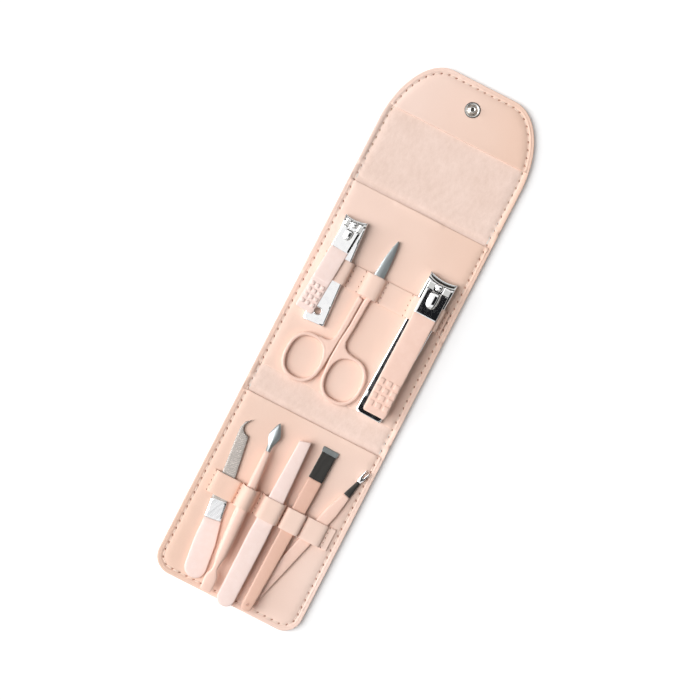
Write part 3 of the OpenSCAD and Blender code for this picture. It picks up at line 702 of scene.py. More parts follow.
def surface(name, colour, pair, masks, rough, relief=None, painted_wash=None, coat=None, **constants):
    """A material; masks gives its tone, gloss and height, which drive colour, roughness and relief."""
    made, tree, sockets = principled(name, Base_Color=colour, **constants)
    tone, gloss, height = masks(tree)
    mixed = blend_colours(tree, tone, *pair)
    # Where given, the painted wash lays broad painted light and shade over the base colour.
    feed(tree, sockets["Base Color"], painted_wash(tree, mixed) if painted_wash else mixed)
    feed(tree, sockets["Roughness"], map_range(tree, gloss, target=rough))
    if coat:
        feed(tree, sockets["Coat Weight"], map_range(tree, gloss, target=coat))
    if relief:
        feed(tree, sockets["Normal"], bump(tree, height, *relief))
    return made


STEELS = (
    ("dark_steel", "Dark satin steel", (0.05, 0.048, 0.045), 700.0, 0.1, (0.26, 0.38), 0.1),
    ("bright_steel", "Bright steel", (0.85, 0.85, 0.86), 1200.0, 0.4, (0.10, 0.2), 0.004),
    ("nickel", "Satin nickel", (0.66, 0.645, 0.62), 1500.0, 0.2, (0.12, 0.2), 0.01),
    # This dark nickel is painted shade for the snap's rolled edge and the dimple of its bell.
    ("nickel_painted_shade", "Nickel painted shade", (0.13, 0.12, 0.11), 1500.0, 0.2, (0.3, 0.4), 0.01),
    ("satin_nickel", "Brushed nickel", (0.78, 0.76, 0.73), 1500.0, 0.2, (0.34, 0.44), 0.01),
)


MATERIALS = {}


def make_materials():
    case, tools = bpy.context.scene.case_settings, bpy.context.scene.tool_settings_set
    leather, suede, thread = tuple(case.leather), tuple(case.suede), tuple(case.thread)
    coat, chrome, steel = tuple(tools.coat), tuple(tools.chrome), tuple(tools.steel)
    MATERIALS.update(
        # The leatherette's colour gets broad painted light and shade, paler and deeper from corner to corner.
        leather=surface("Pink leatherette", leather, tones(leather, (0.965, 0.94, 0.925), (1.02, 1.045, 1.06)),
                        leather_masks, (0.42, 0.5), (0.25, 0.00005), painted_wash=painted_light_and_shade, Specular_IOR_Level=0.18),
        suede=surface("Suede lining", suede, tones(suede, (0.93, 0.905, 0.885), (1.06, 1.075, 1.09)),
                      suede_masks, (0.8, 1.0), (0.5, 0.00012), Specular_IOR_Level=0.15, Sheen_Weight=0.25,
                      Sheen_Roughness=0.5),
        thread=surface("Seam thread", thread, tones(thread, (0.85,) * 3, (1.12,) * 3),
                       lambda tree: fibre_masks(tree, 6000.0), (0.6, 0.8), (0.4, 0.0001), Specular_IOR_Level=0.3),
        # The needle hole material is dark brown painted shade for the hollow of each hole.
        hole=surface("Needle hole", (0.44, 0.22, 0.16), ((0.36, 0.18, 0.12), (0.56, 0.31, 0.23)),
                     lambda tree: fibre_masks(tree, 3000.0), (0.8, 1.0), Specular_IOR_Level=0.1),
        card=surface("Grey board", (0.62, 0.5, 0.38), ((0.50, 0.40, 0.30), (0.70, 0.58, 0.45)),
                     lambda tree: fibre_masks(tree, 900.0, 5.0, 0.7), (0.8, 0.98), (0.3, 0.0001),
                     Specular_IOR_Level=0.2),
        felt=surface("Thin felt", (0.8, 0.75, 0.7), ((0.70, 0.64, 0.58), (0.88, 0.83, 0.78)), felt_masks,
                     (0.85, 1.0), (0.5, 0.0002), Sheen_Weight=0.3),
        chrome=surface("Polished chrome", chrome, (chrome, shade(chrome, (0.96, 0.96, 0.97))),
                       lambda tree: worn_masks(tree, 420.0, "Brushed lines", Scale=2500.0, Turn=0.4),
                       (0.03, 0.06), (0.01, 0.00001), Metallic=1.0),
        file=surface("File teeth", (0.47, 0.43, 0.40), tones((0.47, 0.43, 0.40), (0.72,) * 3, (1.3,) * 3),
                     teeth_masks, (0.5, 0.3), (0.7, 0.0001), Metallic=1.0),
    )
    # The light and warm coats are lit and shaded copies of the one pink coat: painted light and painted shade on some
    # tools.
    for key, name, tint in (("coat", "Pink satin coat", coat),
                            ("coat_painted_lit", "Satin coat painted light", shade(coat, (1.0, 1.14, 1.257))),
                            ("coat_painted_shade", "Satin coat painted shade", shade(coat, (0.866, 0.771, 0.715)))):
        MATERIALS[key] = surface(
            name, tint, tones(tint, (0.985, 0.975, 0.97), (1.01, 1.02, 1.03)),
            lambda tree: worn_masks(tree, 230.0, "Leather grain", Scale=3600.0), (0.34, 0.42), (0.06, 0.00003),
            coat=(0.28, 0.2), Specular_IOR_Level=0.5, Coat_Roughness=0.3)
    for key, name, tint, scale, turn, rough, strength in (
            ("steel", "Satin steel", steel, 900.0, 0.0, (0.26, 0.38), 0.1), *STEELS):
        MATERIALS[key] = surface(
            name, tint, tones(tint, (0.86,) * 3, (1.16,) * 3), lambda tree: steel_masks(tree, scale, turn), rough,
            (strength, 0.00005), Metallic=1.0)


def material(name):
    if not MATERIALS:
        make_materials()
    return MATERIALS[name]


# ---- The case ----


def case_border(from_y, to_y, inset, step=1.6, rows=()):
    """Closed outline of a stretch of the case, with a list that says which edges are finished ones."""
    end_low, end_high = from_y <= LOWER_END, to_y >= FLAP_END
    low, high = max(from_y, LOWER_END + inset), min(to_y, FLAP_END - inset)
    levels = set(np.round(np.linspace(low, high, max(3, int((high - low) / step))), 4))
    levels |= {y for y in rows if low < y < high}
    right = []
    if end_low:
        r = CORNER_R - inset
        right += arc(HALF_W - CORNER_R, LOWER_END + CORNER_R, r, r, -90, 0, 14)
        levels = {y for y in levels if y > LOWER_END + CORNER_R + 0.5}
    curve_start = FLAP_END - FLAP_CURVE
    if end_high:
        levels = {y for y in levels if y < curve_start - 0.5}
    right += [(HALF_W - inset, y) for y in sorted(levels)]
    if end_high:
        across, up = HALF_W - FLAP_FLAT - inset, FLAP_CURVE - inset
        first = math.degrees(math.asin(max(0.0, (low - curve_start) / up)))
        right += arc(FLAP_FLAT, curve_start, across, up, first, 90, 34)
    left = [(-x, y) for x, y in right[::-1]]
    across_high = resample([right[-1], left[0]], step, closed=False)[1:-1]
    across_low = resample([left[-1], right[0]], step, closed=False)[1:-1]
    border = right + across_high + left + across_low
    soft = [True] * (len(right) - 1) + [end_high] * (len(across_high) + 1)
    soft += [True] * (len(left) - 1) + [end_low] * (len(across_low) + 1)
    return border, soft


def seam_path(inset):
    """The closed seam round the whole case, starting at the middle of the lower end."""
    border, _ = case_border(LOWER_END - 1, FLAP_END + 1, inset, 1.0)
    return border


def even_marks(line, pitch, closed=True):
    """Marks at an even pitch along a line: (x, y, direction in radians)."""
    pts = [Vector(p) for p in line] + ([Vector(line[0])] if closed else [])
    total = sum((b - a).length for a, b in zip(pts, pts[1:]))
    count = max(1, round(total / pitch))
    step, walked, marks, target = total / count, 0.0, [], 0.0
    for a, b in zip(pts, pts[1:]):
        length = (b - a).length
        while target <= walked + length + 1e-9 and len(marks) < count:
            t = (target - walked) / max(length, 1e-9)
            p = a.lerp(b, t)
            marks.append((p.x, p.y, math.atan2(b.y - a.y, b.x - a.x)))
            target += step
        walked += length
    return marks


def seam_marks():
    case = bpy.context.scene.case_settings
    return even_marks(seam_path(case.seam_inset), case.stitch_pitch)


def mark_cluster(marks, from_y, to_y):
    """Extra points that give each needle hole its own dimple."""
    out = []
    for x, y, turn in marks:
        if from_y - 1 < y < to_y + 1:
            out.append((x, y))
            for ring, count in ((0.45, 6), (0.95, 8)):
                out += [(x + ring * math.cos(turn + 2 * math.pi * k / count),
                         y + ring * math.sin(turn + 2 * math.pi * k / count)) for k in range(count)]
    return out


def dimples(x, y, marks, depth):
    """Depth of the needle holes' dimples at each point."""
    out = np.zeros(len(x))
    for mx, my, _ in marks:
        r2 = (x - mx) ** 2 + (y - my) ** 2
        out = np.maximum(out, depth * np.exp(-r2 / DIMPLE_SPREAD))
    return out


def groove(d, at, width, depth):
    return depth * np.exp(-((d - at) / width) ** 2)


def seam_hollow(d, at):
    """The wide hollow that the seam pulls into the padded edge."""
    return SEAM_DIP * np.exp(-((d - at) / SEAM_SPREAD) ** 2)


def ripple(x, y, seed, scale, amount):
    return np.array([amount * noise.noise(Vector((a * scale, b * scale, seed))) for a, b in zip(x, y)])


def case_distance(x, y):
    return polyline_distance(x, y, case_border(LOWER_END - 1, FLAP_END + 1, 0.0, 3.0)[0])


VALLEYS = ((FOLD_B + 1.2, 0.5), (FOLD_C + 1.6, 0.5), (FOLD_A - 0.6, 0.12), (121.0, 0.12))


def crease_valleys(y):
    """Depth of the soft hollows that run across the lining beside the facings."""
    return sum(depth * np.exp(-((y - at) / 1.7) ** 2) for at, depth in VALLEYS)


def pit_depth(x, y):
    """Depth of the round recesses in the outside that hold the snap's socket and cap."""
    depth = np.zeros(len(x))
    for cx, cy, radius, deep in PITS:
        r = np.hypot(x - cx, y - cy)
        depth += deep * np.clip((radius - r) / 0.05, 0, 1)
        depth += 0.12 * np.clip(1 - (r - radius) / 0.7, 0, 1) * (r > radius)
    return depth


def pit_points():
    """Rings of points that give each recess a clean wall."""
    points = []
    for cx, cy, radius, _ in PITS:
        for gap in (-0.9, -0.06, 0.01, 0.25, 0.7):
            points += [(cx + (radius + gap) * math.cos(a), cy + (radius + gap) * math.sin(a))
                       for a in np.linspace(0, 2 * math.pi, 64, endpoint=False)]
    return points


def case_skin(name, from_y, to_y, crease):
    """Outer leatherette with its turned edge, and the suede lining inside it."""
    marks = seam_marks()
    inset = bpy.context.scene.case_settings.seam_inset
    rows = [crease + offset for offset in np.arange(-2.7, 3.61, 0.45)]
    border, soft = case_border(from_y, to_y, 0.0, 1.6, rows)
    round_r, rim = 0.4, inset - 0.75

    def top(x, y, d):
        rim_rise = RIM_RISE / (1 + np.exp((d - 2.1) / 0.22))
        dip = np.minimum(seam_hollow(d, inset) + crease_valleys(y) * np.clip(d - 0.4, 0, 1), DEEPEST)
        z = PANEL_T + rim_rise - edge_drop(d, round_r) - groove(d, inset, GROOVE_W, 0.13) - dimples(x, y, marks, 0.3)
        return z - dip - 0.1 / (1 + np.exp(-(d - rim - 0.1) / 0.12))

    def bottom(x, y, d):
        return edge_drop(d, round_r) + groove(d, inset, GROOVE_W, 0.15) + dimples(x, y, marks, 0.25) + pit_depth(x, y)

    def slot_of(p, depth, is_top):
        return 1 if is_top and depth > rim + 0.05 else 0

    extra = mark_cluster(marks, from_y, to_y) + pit_points()
    for y in rows + [120.0, 120.8, 121.4, 79.6, 80.6]:
        extra += [(x, y) for x in np.linspace(-36.5, 36.5, 36)]
    rings = [0.04, 0.12, 0.25, round_r, 0.9, 1.4, 1.8, 2.15, rim, rim + 0.22, inset - 0.4, inset, inset + 0.45,
             inset + 1.2]
    return form(name, border, top, bottom, [material("leather"), material("suede")], rings, 3.4, extra, soft,
                slot_of, sharp=48)


def facing_sheet(name, from_y, to_y, lift_low, lift_high, seed, paths):
    """A smooth leatherette facing sewn over the lining; its free edge stays low where tools slide over it."""
    marks = seam_marks()
    inset = bpy.context.scene.case_settings.seam_inset - FACING_INSET
    border, soft = case_border(from_y, to_y, FACING_INSET, 1.6)
    free_low, free_high = from_y > LOWER_END, to_y < FLAP_END

    def ends(y):
        sewn = np.full(len(y), 99.0)
        return y - from_y if free_low else sewn, to_y - y if free_high else sewn

    def lifted(x, y):
        low, high = ends(y)
        free = np.ones(len(x))
        for a, b in paths:
            free = np.minimum(free, np.clip(np.maximum(a - x, x - b) / 2.0, 0, 1))
        lift = lift_low * np.exp(-(low / 2.2) ** 2) + lift_high * np.exp(-(high / 2.2) ** 2)
        return lift * (0.15 + 0.85 * free)

    def top(x, y, d):
        side = case_distance(x, y) - FACING_INSET
        z = FACING_Z - edge_drop(d, 0.08) - edge_drop(np.minimum(*ends(y)), 0.3)
        z -= groove(side, inset, GROOVE_W, 0.16) + dimples(x, y, marks, 0.35) + seam_hollow(side, inset)
        z -= 0.14 + 0.02 * np.exp(-(side / 0.5) ** 2) + ripple(x, y, seed, 0.05, 0.13)
        return z + lifted(x, y)

    def bottom(x, y, d):
        d = np.minimum(d, np.minimum(*ends(y)))
        return PANEL_T - 0.6 + edge_drop(d, 0.15) + 0.9 * lifted(x, y)

    extra = mark_cluster(marks, from_y, to_y)
    for level in (0.06, 0.18, 0.4, 0.9, 1.8, 3.0):
        for is_free, y in ((free_low, from_y + level), (free_high, to_y - level)):
            if is_free:
                extra += [(x, y) for x in np.linspace(-39.6, 39.6, 48)]
    rings = [0.03, 0.08, 0.4, 0.8, inset - 0.45, inset, inset + 0.45, inset + 1.2]
    return form(name, border, top, bottom, [material("leather")], rings, 2.6, extra, soft, sharp=60)


def capsule(lists, slot, centre, turn, length, width, height):
    """Adds a small rounded bar, a stitch (slot 0) or a needle hole (slot 1), to a mesh's three lists; a needle hole's
    bar is dark, painted shade for the hollow.
    """
    verts, faces, slots = lists
    stations = [(-0.5, 0.05), (-0.42, 0.72), (-0.2, 1.0), (0.2, 1.0), (0.42, 0.72), (0.5, 0.05)]
    (ux, uy), start, steps = (math.cos(turn), math.sin(turn)), len(verts), 6
    for s, size in stations:
        for k in range(steps):
            a = 2 * math.pi * k / steps
            w, h = width / 2 * size * math.cos(a), height / 2 * size * math.sin(a)
            verts.append((centre[0] + ux * s * length - uy * w, centre[1] + uy * s * length + ux * w,
                          centre[2] + h))
    added = ring_faces(len(stations), steps, start)
    added += [tuple(range(start, start + steps)), tuple(range(len(verts) - steps, len(verts)))[::-1]]
    faces += added
    slots += [slot] * len(added)


def sewn(name, lists):
    verts, faces, slots = lists
    return make_object(name, verts, faces, [material("thread"), material("hole")], slots, sharp=80)


def surface_z(y):
    """Height of the top of the case at y: facing or lining."""
    on_facing = MIDDLE_FACING[0] < y < MIDDLE_FACING[1] or y < LOWER_FACING_END or y > FLAP_FACING_START
    return (FACING_Z - 0.1 if on_facing else PANEL_T - 0.12) - SEAM_DIP


def seam(name, from_y, to_y):
    """The stitches of the edge seam on both faces, with dark bars of painted shade for the needle holes between them.
    """
    case = bpy.context.scene.case_settings
    marks = seam_marks()
    lists = ([], [], [])
    for (x, y, turn), (nx, ny, _) in zip(marks, marks[1:] + marks[:1]):
        mx, my = (x + nx) / 2, (y + ny) / 2
        if from_y <= y < to_y:
            for z in (surface_z(y) - 0.18, 0.2):
                # Each needle hole is a dark bar of painted shade.
                capsule(lists, 1, (x, y, z), turn + 0.5, case.hole_length, 0.6, 0.3)
        if from_y <= my < to_y:
            heading = math.atan2(ny - y, nx - x)
            for z in (surface_z(my) - 0.24, 0.24):
                capsule(lists, 0, (mx, my, z), heading + 0.1, case.stitch_pitch - 1.15, 0.66, 0.46)
    return sewn(name, lists)


def band_path(loops, from_x, to_x, thick):
    """Middle line of a loop band seen from its end: flat on the facing, with a soft arch over each tool."""
    half, foot = thick / 2, 0.8
    line = [(from_x, half)]
    for x0, x1, h, power in loops:
        centre, across, top = (x0 + x1) / 2, (x1 - x0) / 2 + half, h + half + 0.1
        arch = []
        for k in range(37):
            t = math.pi * (1 - k / 36)
            c, s = math.cos(t), math.sin(t)
            arch.append((centre + across * math.copysign(abs(c) ** (2 / power), c),
                         half + (top - half) * abs(s) ** (2 / power)))
        arch = [p for p in arch if p[1] > half + foot]
        fillet = [(foot * math.sin(math.radians(a)), foot * (1 - math.cos(math.radians(a))))
                  for a in (0, 25, 50, 75)]
        low, high = arch[0][0], arch[-1][0]
        line += [(low - foot + u, half + v) for u, v in fillet] + arch
        line += [(high + foot - u, half + v) for u, v in fillet[::-1]]
    line.append((to_x, half))
    clean = [line[0]]
    for p in line[1:]:
        if math.dist(p, clean[-1]) > 0.05:
            clean.append(p)
    return resample(clean, 0.9, closed=False)


def loop_band(name, loops, from_x, to_x, from_y, to_y):
    """A draped strip of leatherette with rolled long edges."""
    half, r, depth = BAND_T / 2, 0.3, to_y - from_y
    path = band_path(loops, from_x, to_x, BAND_T)
    flat = depth - 2 * r
    section = [(r + v * flat, half) for v in np.linspace(0, 1, 9)]
    section += arc(depth - r, half - r, r, r, 90, 0, 3)[1:] + arc(depth - r, r - half, r, r, 0, -90, 3)
    section += [(depth - r - v * flat, -half) for v in np.linspace(0.12, 1, 8)]
    section += arc(r, r - half, r, r, -90, -180, 3)[1:] + arc(r, half - r, r, r, 180, 90, 3)[:3]
    m, n, verts = len(section), len(path), []
    for i, (x, z) in enumerate(path):
        a, b = path[max(i - 1, 0)], path[min(i + 1, n - 1)]
        t = Vector((b[0] - a[0], b[1] - a[1])).normalized()
        rise = min(max(z - half, 0) / 4.0, 1)
        verts += [(x - t.y * off, from_y + v + 0.3 * rise * (0.5 - v / depth), FACING_Z - 0.06 + z + t.x * off)
                  for v, off in section]
    faces = flipped(ring_faces(n, m)) + [tuple(range(m))[::-1], tuple(range((n - 1) * m, n * m))]
    return make_object(name, verts, faces, [material("leather")], sharp=60)


def band_seams(name, columns, from_y, to_y):
    """Rows of stitches that hold a loop band down between the tools."""
    lists, count, z = ([], [], []), 4, FACING_Z + BAND_T
    pitch = (to_y - from_y - 1.2) / count
    for x in columns:
        for k in range(count + 1):
            y = from_y + 0.6 + k * pitch
            # Each needle hole is a dark bar of painted shade.
            capsule(lists, 1, (x, y, z - 0.02), math.radians(118), 0.9, 0.45, 0.16)
            if k < count:
                capsule(lists, 0, (x + 0.12, y + pitch / 2, z), math.radians(80), pitch - 0.9, 0.42, 0.26)
    return sewn(name, lists)


# ---- Operators: one for each piece or group of like pieces ----

class Maker(bpy.types.Operator):
    """Shared base of the operators that build pieces"""
    bl_options = {"REGISTER", "UNDO"}


def rides(obj, body, slot, *nodes):
    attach(obj, body)
    if nodes:
        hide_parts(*nodes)
    return obj


def bends(obj, a, b, crease, slot, *nodes, reach=1.9):
    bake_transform(obj)
    if nodes:
        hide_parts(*nodes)
    return obj


SKINS = (
    ("lower", LOWER_END - 1, (FOLD_A + FOLD_B) / 2, FOLD_B, "lower_panel", "lower_spine",
     ("lower_cover", "lower_lining", "lower_spine_cover", "lower_spine_lining")),
    ("middle_lower", (FOLD_A + FOLD_B) / 2, MIDDLE_CUT, FOLD_A, "lower_spine", "middle_panel",
     ("middle_cover", "middle_lining")),
    ("middle_upper", MIDDLE_CUT, (FOLD_C + FOLD_D) / 2, FOLD_C, "middle_panel", "upper_spine",
     ("upper_spine_cover", "upper_spine_lining")),
    ("flap", (FOLD_C + FOLD_D) / 2, FLAP_END + 1, FOLD_D, "upper_spine", "flap",
     ("flap_cover", "flap_lining")),
)


FACINGS = (
    ("middle", *MIDDLE_FACING, (0.0, 0.5), "middle_panel", 3.1, ((-36.0, -15.0), (14.5, 37.5))),
    ("lower", LOWER_END - 1, LOWER_FACING_END, (0.0, 0.3), "lower_panel", 7.7, ((-27.0, 17.0),)),
    ("flap", FLAP_FACING_START, FLAP_END + 1, (0.12, 0.0), "flap", 1.3, ()),
)


class MANICURE_OT_case_skin(Maker):
    """Builds the leatherette cover with its turned edge and suede lining"""
    bl_idname = "manicure.case_skin"
    bl_label = "Case cover and lining"

    def execute(self, context):
        for name, low, high, crease, a, b, nodes in SKINS:
            bends(case_skin(f"{name}_case_skin", low, high, crease), a, b, crease, "leatherette", *nodes)
        return {"FINISHED"}


class MANICURE_OT_facings(Maker):
    """Builds the smooth facings of the three panels"""
    bl_idname = "manicure.facings"
    bl_label = "Smooth facings"

    def execute(self, context):
        for name, low, high, lifts, body, seed, paths in FACINGS:
            sheet = facing_sheet(f"{name}_facing_sheet", low, high, *lifts, seed, paths)
            rides(sheet, body, "leatherette", f"{name}_facing")
        return {"FINISHED"}


class MANICURE_OT_seams(Maker):
    """Sews the edge seam and the rows between the loops"""
    bl_idname = "manicure.seams"
    bl_label = "Seams"

    def execute(self, context):
        for name, low, high, crease, a, b, _ in SKINS:
            bends(seam(f"{name}_edge_seam", low, high), a, b, crease, "leatherette")
        rides(band_seams("upper_band_seams", (-34.45, -17.3, -11.2, 1.9, 16.2, 36.6), *UPPER_BAND_Y),
              "middle_panel", "leatherette")
        rides(band_seams("lower_band_seams", (-33.8, -18.4, -6.7, 8.0, 19.7, 33.3), *LOWER_BAND_Y),
              "lower_panel", "leatherette")
        return {"FINISHED"}


class MANICURE_OT_loop_bands(Maker):
    """Drapes the two loop bands over the tools"""
    bl_idname = "manicure.loop_bands"
    bl_label = "Loop bands"

    def execute(self, context):
        rides(loop_band("upper_band", UPPER_LOOPS, -35.0, 38.0, *UPPER_BAND_Y),
              "middle_panel", "leatherette", "upper_loop_band")
        rides(loop_band("lower_band", LOWER_LOOPS, -34.5, 36.5, *LOWER_BAND_Y),
              "lower_panel", "leatherette", "lower_loop_band")
        return {"FINISHED"}


STUD_X = -0.2
STUD_PROFILE = [
    (0, -0.3), (4.25, -0.3), (4.25, 0.02), (4.15, 0.18), (3.9, 0.26), (3.72, 0.27), (2.5, 0.27), (2.38, 0.1),
    (1.9, 0.1), (1.75, 0.5), (1.75, 0.9), (2.0, 1.2), (2.15, 1.55), (2.1, 1.9), (1.9, 2.15), (1.6, 2.3),
    (1.25, 2.34), (0.95, 2.25), (0.8, 1.9), (0.7, 1.2), (0.5, 0.9), (0, 0.85)]
CAP_PROFILE = [(r, 0.3 * (r / 6) ** 2.5) for r in (0, 1, 2, 3, 4, 4.6, 5.2, 5.6)] + [
    (5.85, 0.34), (6.0, 0.5), (0, 0.5)]
SOCKET_PROFILE = [
    (0, 1.8), (2.5, 1.8), (2.5, 0.4), (2.56, 0.2), (2.75, 0.06), (3.1, 0.0), (3.6, 0.03), (4.2, 0.12),
    (4.7, 0.27), (4.95, 0.45), (5.0, 0.7), (5.0, 2.1), (0, 2.1)]


class MANICURE_OT_snap(Maker):
    """Turns the snap: stud with its ringed plate and dimpled bell, outer cap and socket"""
    bl_idname = "manicure.snap"
    bl_label = "Snap fastener"

    def execute(self, context):
        stud = lathe("snap_stud_bell", [(r, FACING_Z + z) for r, z in STUD_PROFILE],
                     [material("nickel"), material("nickel_painted_shade")], steps=64,
                     matrix=Matrix.Translation((STUD_X, STUD_Y, 0)), sharp=60)
        # The rolled outer edge and the bell's dimple take the dark nickel: painted shade.
        for face in stud.data.polygons:
            r = math.hypot(face.center.x / MM - STUD_X, face.center.y / MM - STUD_Y)
            face.material_index = 1 if r > 3.8 or r < 0.85 else 0
        rides(stud, "flap", "chrome", "snap_stud")
        satin = [material("satin_nickel")]
        cap = lathe("snap_cap_dome", CAP_PROFILE, satin, steps=64, matrix=Matrix.Translation((0, STUD_Y, 0)),
                    sharp=50)
        rides(cap, "flap", "chrome", "snap_cap")
        socket = lathe("snap_socket_ring", SOCKET_PROFILE, satin, steps=64,
                       matrix=Matrix.Translation((0, SOCKET_Y, 0)), sharp=50)
        rides(socket, "lower_panel", "chrome", "snap_socket")
        return {"FINISHED"}


def lever_grip(name, length, width, t, axis_z, chrome_len, rows_at, pad, pitch, step_at, matrix):
    """The coloured grip of a clipper's lever, with raised pads in rows."""
    tools = bpy.context.scene.tool_settings_set
    # The small lever's grip takes the lighter copy of the coat: painted light.
    coat = material("coat_painted_lit" if step_at else "coat")
    half, front = width / 2, 0.15 - chrome_len
    outline = rounded([(-half, front), (-half, -length), (half, -length), (half, front)], [0.2, 1.3, 1.3, 0.2])

    def top(x, y, d):
        z = axis_z + t / 2 + 0.02 - edge_drop(d, 0.42) - 0.1 * crown_drop(d)
        return z - (0.14 / (1 + np.exp((y + step_at) / 0.12)) if step_at else 0)

    def bottom(x, y, d):
        return axis_z - t / 2 + edge_drop(d, 0.4)

    extra = [(x, o - step_at) for x in np.linspace(0.5 - half, half - 0.5, 12)
             for o in (-0.4, -0.15, 0.0, 0.15, 0.4)] if step_at else ()
    parts = [form(name, resample(outline, 1.0), top, bottom, [coat], round_rings(0.42) + [1.4], 1.4, extra)]
    w, h = pad[0] / 2, pad[1] / 2
    for column in range(tools.dot_columns):
        for row in range(tools.dot_rows):
            cx = (column - (tools.dot_columns - 1) / 2) * pitch[0]
            cy = rows_at - length + row * pitch[1]
            dot = rounded([(cx - w, cy - h), (cx + w, cy - h), (cx + w, cy + h), (cx - w, cy + h)], 0.7)
            parts.append(plate("pad", dot, axis_z, axis_z + t / 2 + 0.5, 0.4, [coat], step=0.5, grid=0.8))
    return placed(join(parts), matrix)


def placed(obj, matrix):
    """Moves a mesh, already in metres, to a placement in millimetres."""
    matrix = matrix.copy()
    matrix.translation *= MM
    obj.data.transform(matrix)
    return obj


def join(parts):
    for obj in bpy.context.selected_objects:
        obj.select_set(False)
    for obj in parts:
        obj.select_set(True)
    bpy.context.view_layer.objects.active = parts[0]
    bpy.ops.object.join()
    return parts[0]


def lever_plate(name, width, t, axis_z, chrome_len, tongue, matrix):
    """The chromed front of a lever: a flat plate with two ears round the post and a raised tongue."""
    half, front, notch, back = width / 2, 1.4, 2.5, -3.0
    chrome = [material("chrome")]
    outline = rounded([(-half, front), (-half, -chrome_len), (half, -chrome_len), (half, front),
                       (notch, front), (notch, back), (-notch, back), (-notch, front)],
                      [0.6, 0.1, 0.1, 0.6, 0.4, 1.3, 1.3, 0.4])
    step, rise = back + 0.1, axis_z + t / 2

    def ears(x, y):
        return np.clip((y - step) / 0.5, 0, 1) * (0.27 * (y - step - 0.5) - 0.75)

    lines = [(x, step + o) for x in np.linspace(0.1 - half, half - 0.1, 30) for o in (-0.12, 0.0, 0.25, 0.5, 0.62)]
    body = plate(name, outline, axis_z - t / 2, rise, 0.2, chrome, step=0.6, grid=1.2, shape=ears, extra=lines)
    outer, start, end = tongue
    bar = [(end + (start - end) * v, rise, outer * f, 0.9 * f) for v, f in (
        (0, 0.3), (0.03, 0.5), (0.1, 0.72), (0.22, 0.88), (0.45, 1), (0.8, 0.98), (0.95, 0.9), (1, 0.75))]
    return placed(join([body, loft("tongue", bar, chrome, power=2.0, sharp=70)]), matrix)


def upper_arm(name, length, width, t, h, hole, matrix):
    """A clipper's sprung upper arm, curved down to a hollow cutting lip."""
    half, edge_r, dip, lip = width / 2, 1.5 * width, 1.6, (h + 1.6) / 2
    cy = length + edge_r - dip
    corner = half + 0.3
    y_end = cy - math.sqrt(edge_r ** 2 - corner ** 2)
    lip_line = [(x, cy - math.sqrt(edge_r ** 2 - x * x)) for x in np.linspace(corner, -corner, 25)]
    outline = resample([(-half, 0), (half, 0)], 1.4, False)[:-1] + [(half, 0)]
    outline += resample([(half, 0), (corner, y_end)], 1.4, False)[1:-1] + lip_line
    outline += resample([(-corner, y_end), (-half, 0)], 1.4, False)[1:-1]
    rise = 0.8 * length

    def top(x, y, d):
        inner = np.clip((np.hypot(x, y - cy) - edge_r - 0.5) / 2.4, 0, 1)
        side = np.minimum(half + 0.3 * y / length - np.abs(x), y + 0.4)
        z = np.interp(y, [0, 10, rise, length], [2 * t, 2 * t, h, h]) - edge_drop(d, 0.3)
        z -= 0.3 * np.clip(1 - side / 0.55, 0, 1) ** 2
        return z - (h - lip - 0.5) * (1 - inner * inner * (3 - 2 * inner))

    def bottom(x, y, d):
        return np.interp(y, [0, 10, rise, length - 3, length - 1.6, length],
                         [t, t, h - t, h - t - 0.1, lip, lip])

    bend_rows = [(x, y) for x in np.linspace(0.3 - half, half - 0.3, 9)
                 for y in (9.6, 10.4, rise - 0.5, rise + 0.5)]
    arm = form(name, outline, top, bottom, [material("chrome")], [0.08, 0.2, 0.3, 0.55, 0.85, 1.15, 1.8], 1.5,
               bend_rows, matrix=matrix, sharp=50)
    if hole:
        cut_round(arm, (0, 6.6), hole, t - 1, 2 * t + 1, matrix)
    return arm


def groove_post(name, post_d, axis_z, matrix):
    """Turned head of the post between the lever's ears, with a rounded collar."""
    top, r = axis_z + 0.5, post_d / 2
    profile = [(0, axis_z - 1.4), (r, axis_z - 1.4), (r, top - 0.1), (r + 0.55, top), (r + 0.62, top + 0.18),
               (r + 0.5, top + 0.42), (r + 0.2, top + 0.62), (r * 0.6, top + 0.76), (0, top + 0.8)]
    return lathe(name, profile, [material("chrome")], steps=36, matrix=matrix, sharp=50)


CLIPPERS = (
    ("small", SMALL_TAIL, SMALL_POST_S, SMALL_TURN, (59.5, 12.0, 1.2, 4.6, 4.6), 51.5, 10.0, 1.2, SMALL_AXIS_Z,
     15.0, 2.6, 4.1, (2.0, 2.3), (2.95, 3.45), 33.5, (2.3, -3.4, -9.2)),
    ("large", LARGE_TAIL, LARGE_POST_S, LARGE_TURN, (83.0, 15.0, 1.4, 5.2, 0), 74.5, 12.6, 1.4, LARGE_AXIS_Z,
     17.0, 3.0, 5.3, (3.1, 3.0), (4.4, 4.2), 0, (3.1, -3.2, -12.2)),
)


class MANICURE_OT_clippers(Maker):
    """Builds the levers, grips, post heads and upper jaws of both nail clippers"""
    bl_idname = "manicure.clippers"
    bl_label = "Nail clippers"

    def execute(self, context):
        for (size, spot, post_s, turn, arm, length, width, t, axis_z, chrome_len, post_d, rows_at, pad, pitch,
             step_at, tongue) in CLIPPERS:
            at = place_lever(spot, post_s, turn)
            grip = lever_grip(f"{size}_lever_grip", length, width, t, axis_z, chrome_len, rows_at, pad, pitch,
                              step_at, at)
            rides(grip, f"{size}_lever", "pink_coat", f"{size}_clipper_grip")
            front = lever_plate(f"{size}_lever_front", width, t, axis_z, chrome_len, tongue, at)
            rides(front, f"{size}_lever", "chrome", f"{size}_clipper_lever")
            rides(groove_post(f"{size}_post_head", post_d, axis_z, at), f"{size}_post", "chrome")
            jaw = upper_arm(f"{size}_upper_jaw", *arm, place(spot))
            rides(jaw, f"{size}_upper_arm", "chrome", f"{size}_clipper_upper_arm")
        return {"FINISHED"}


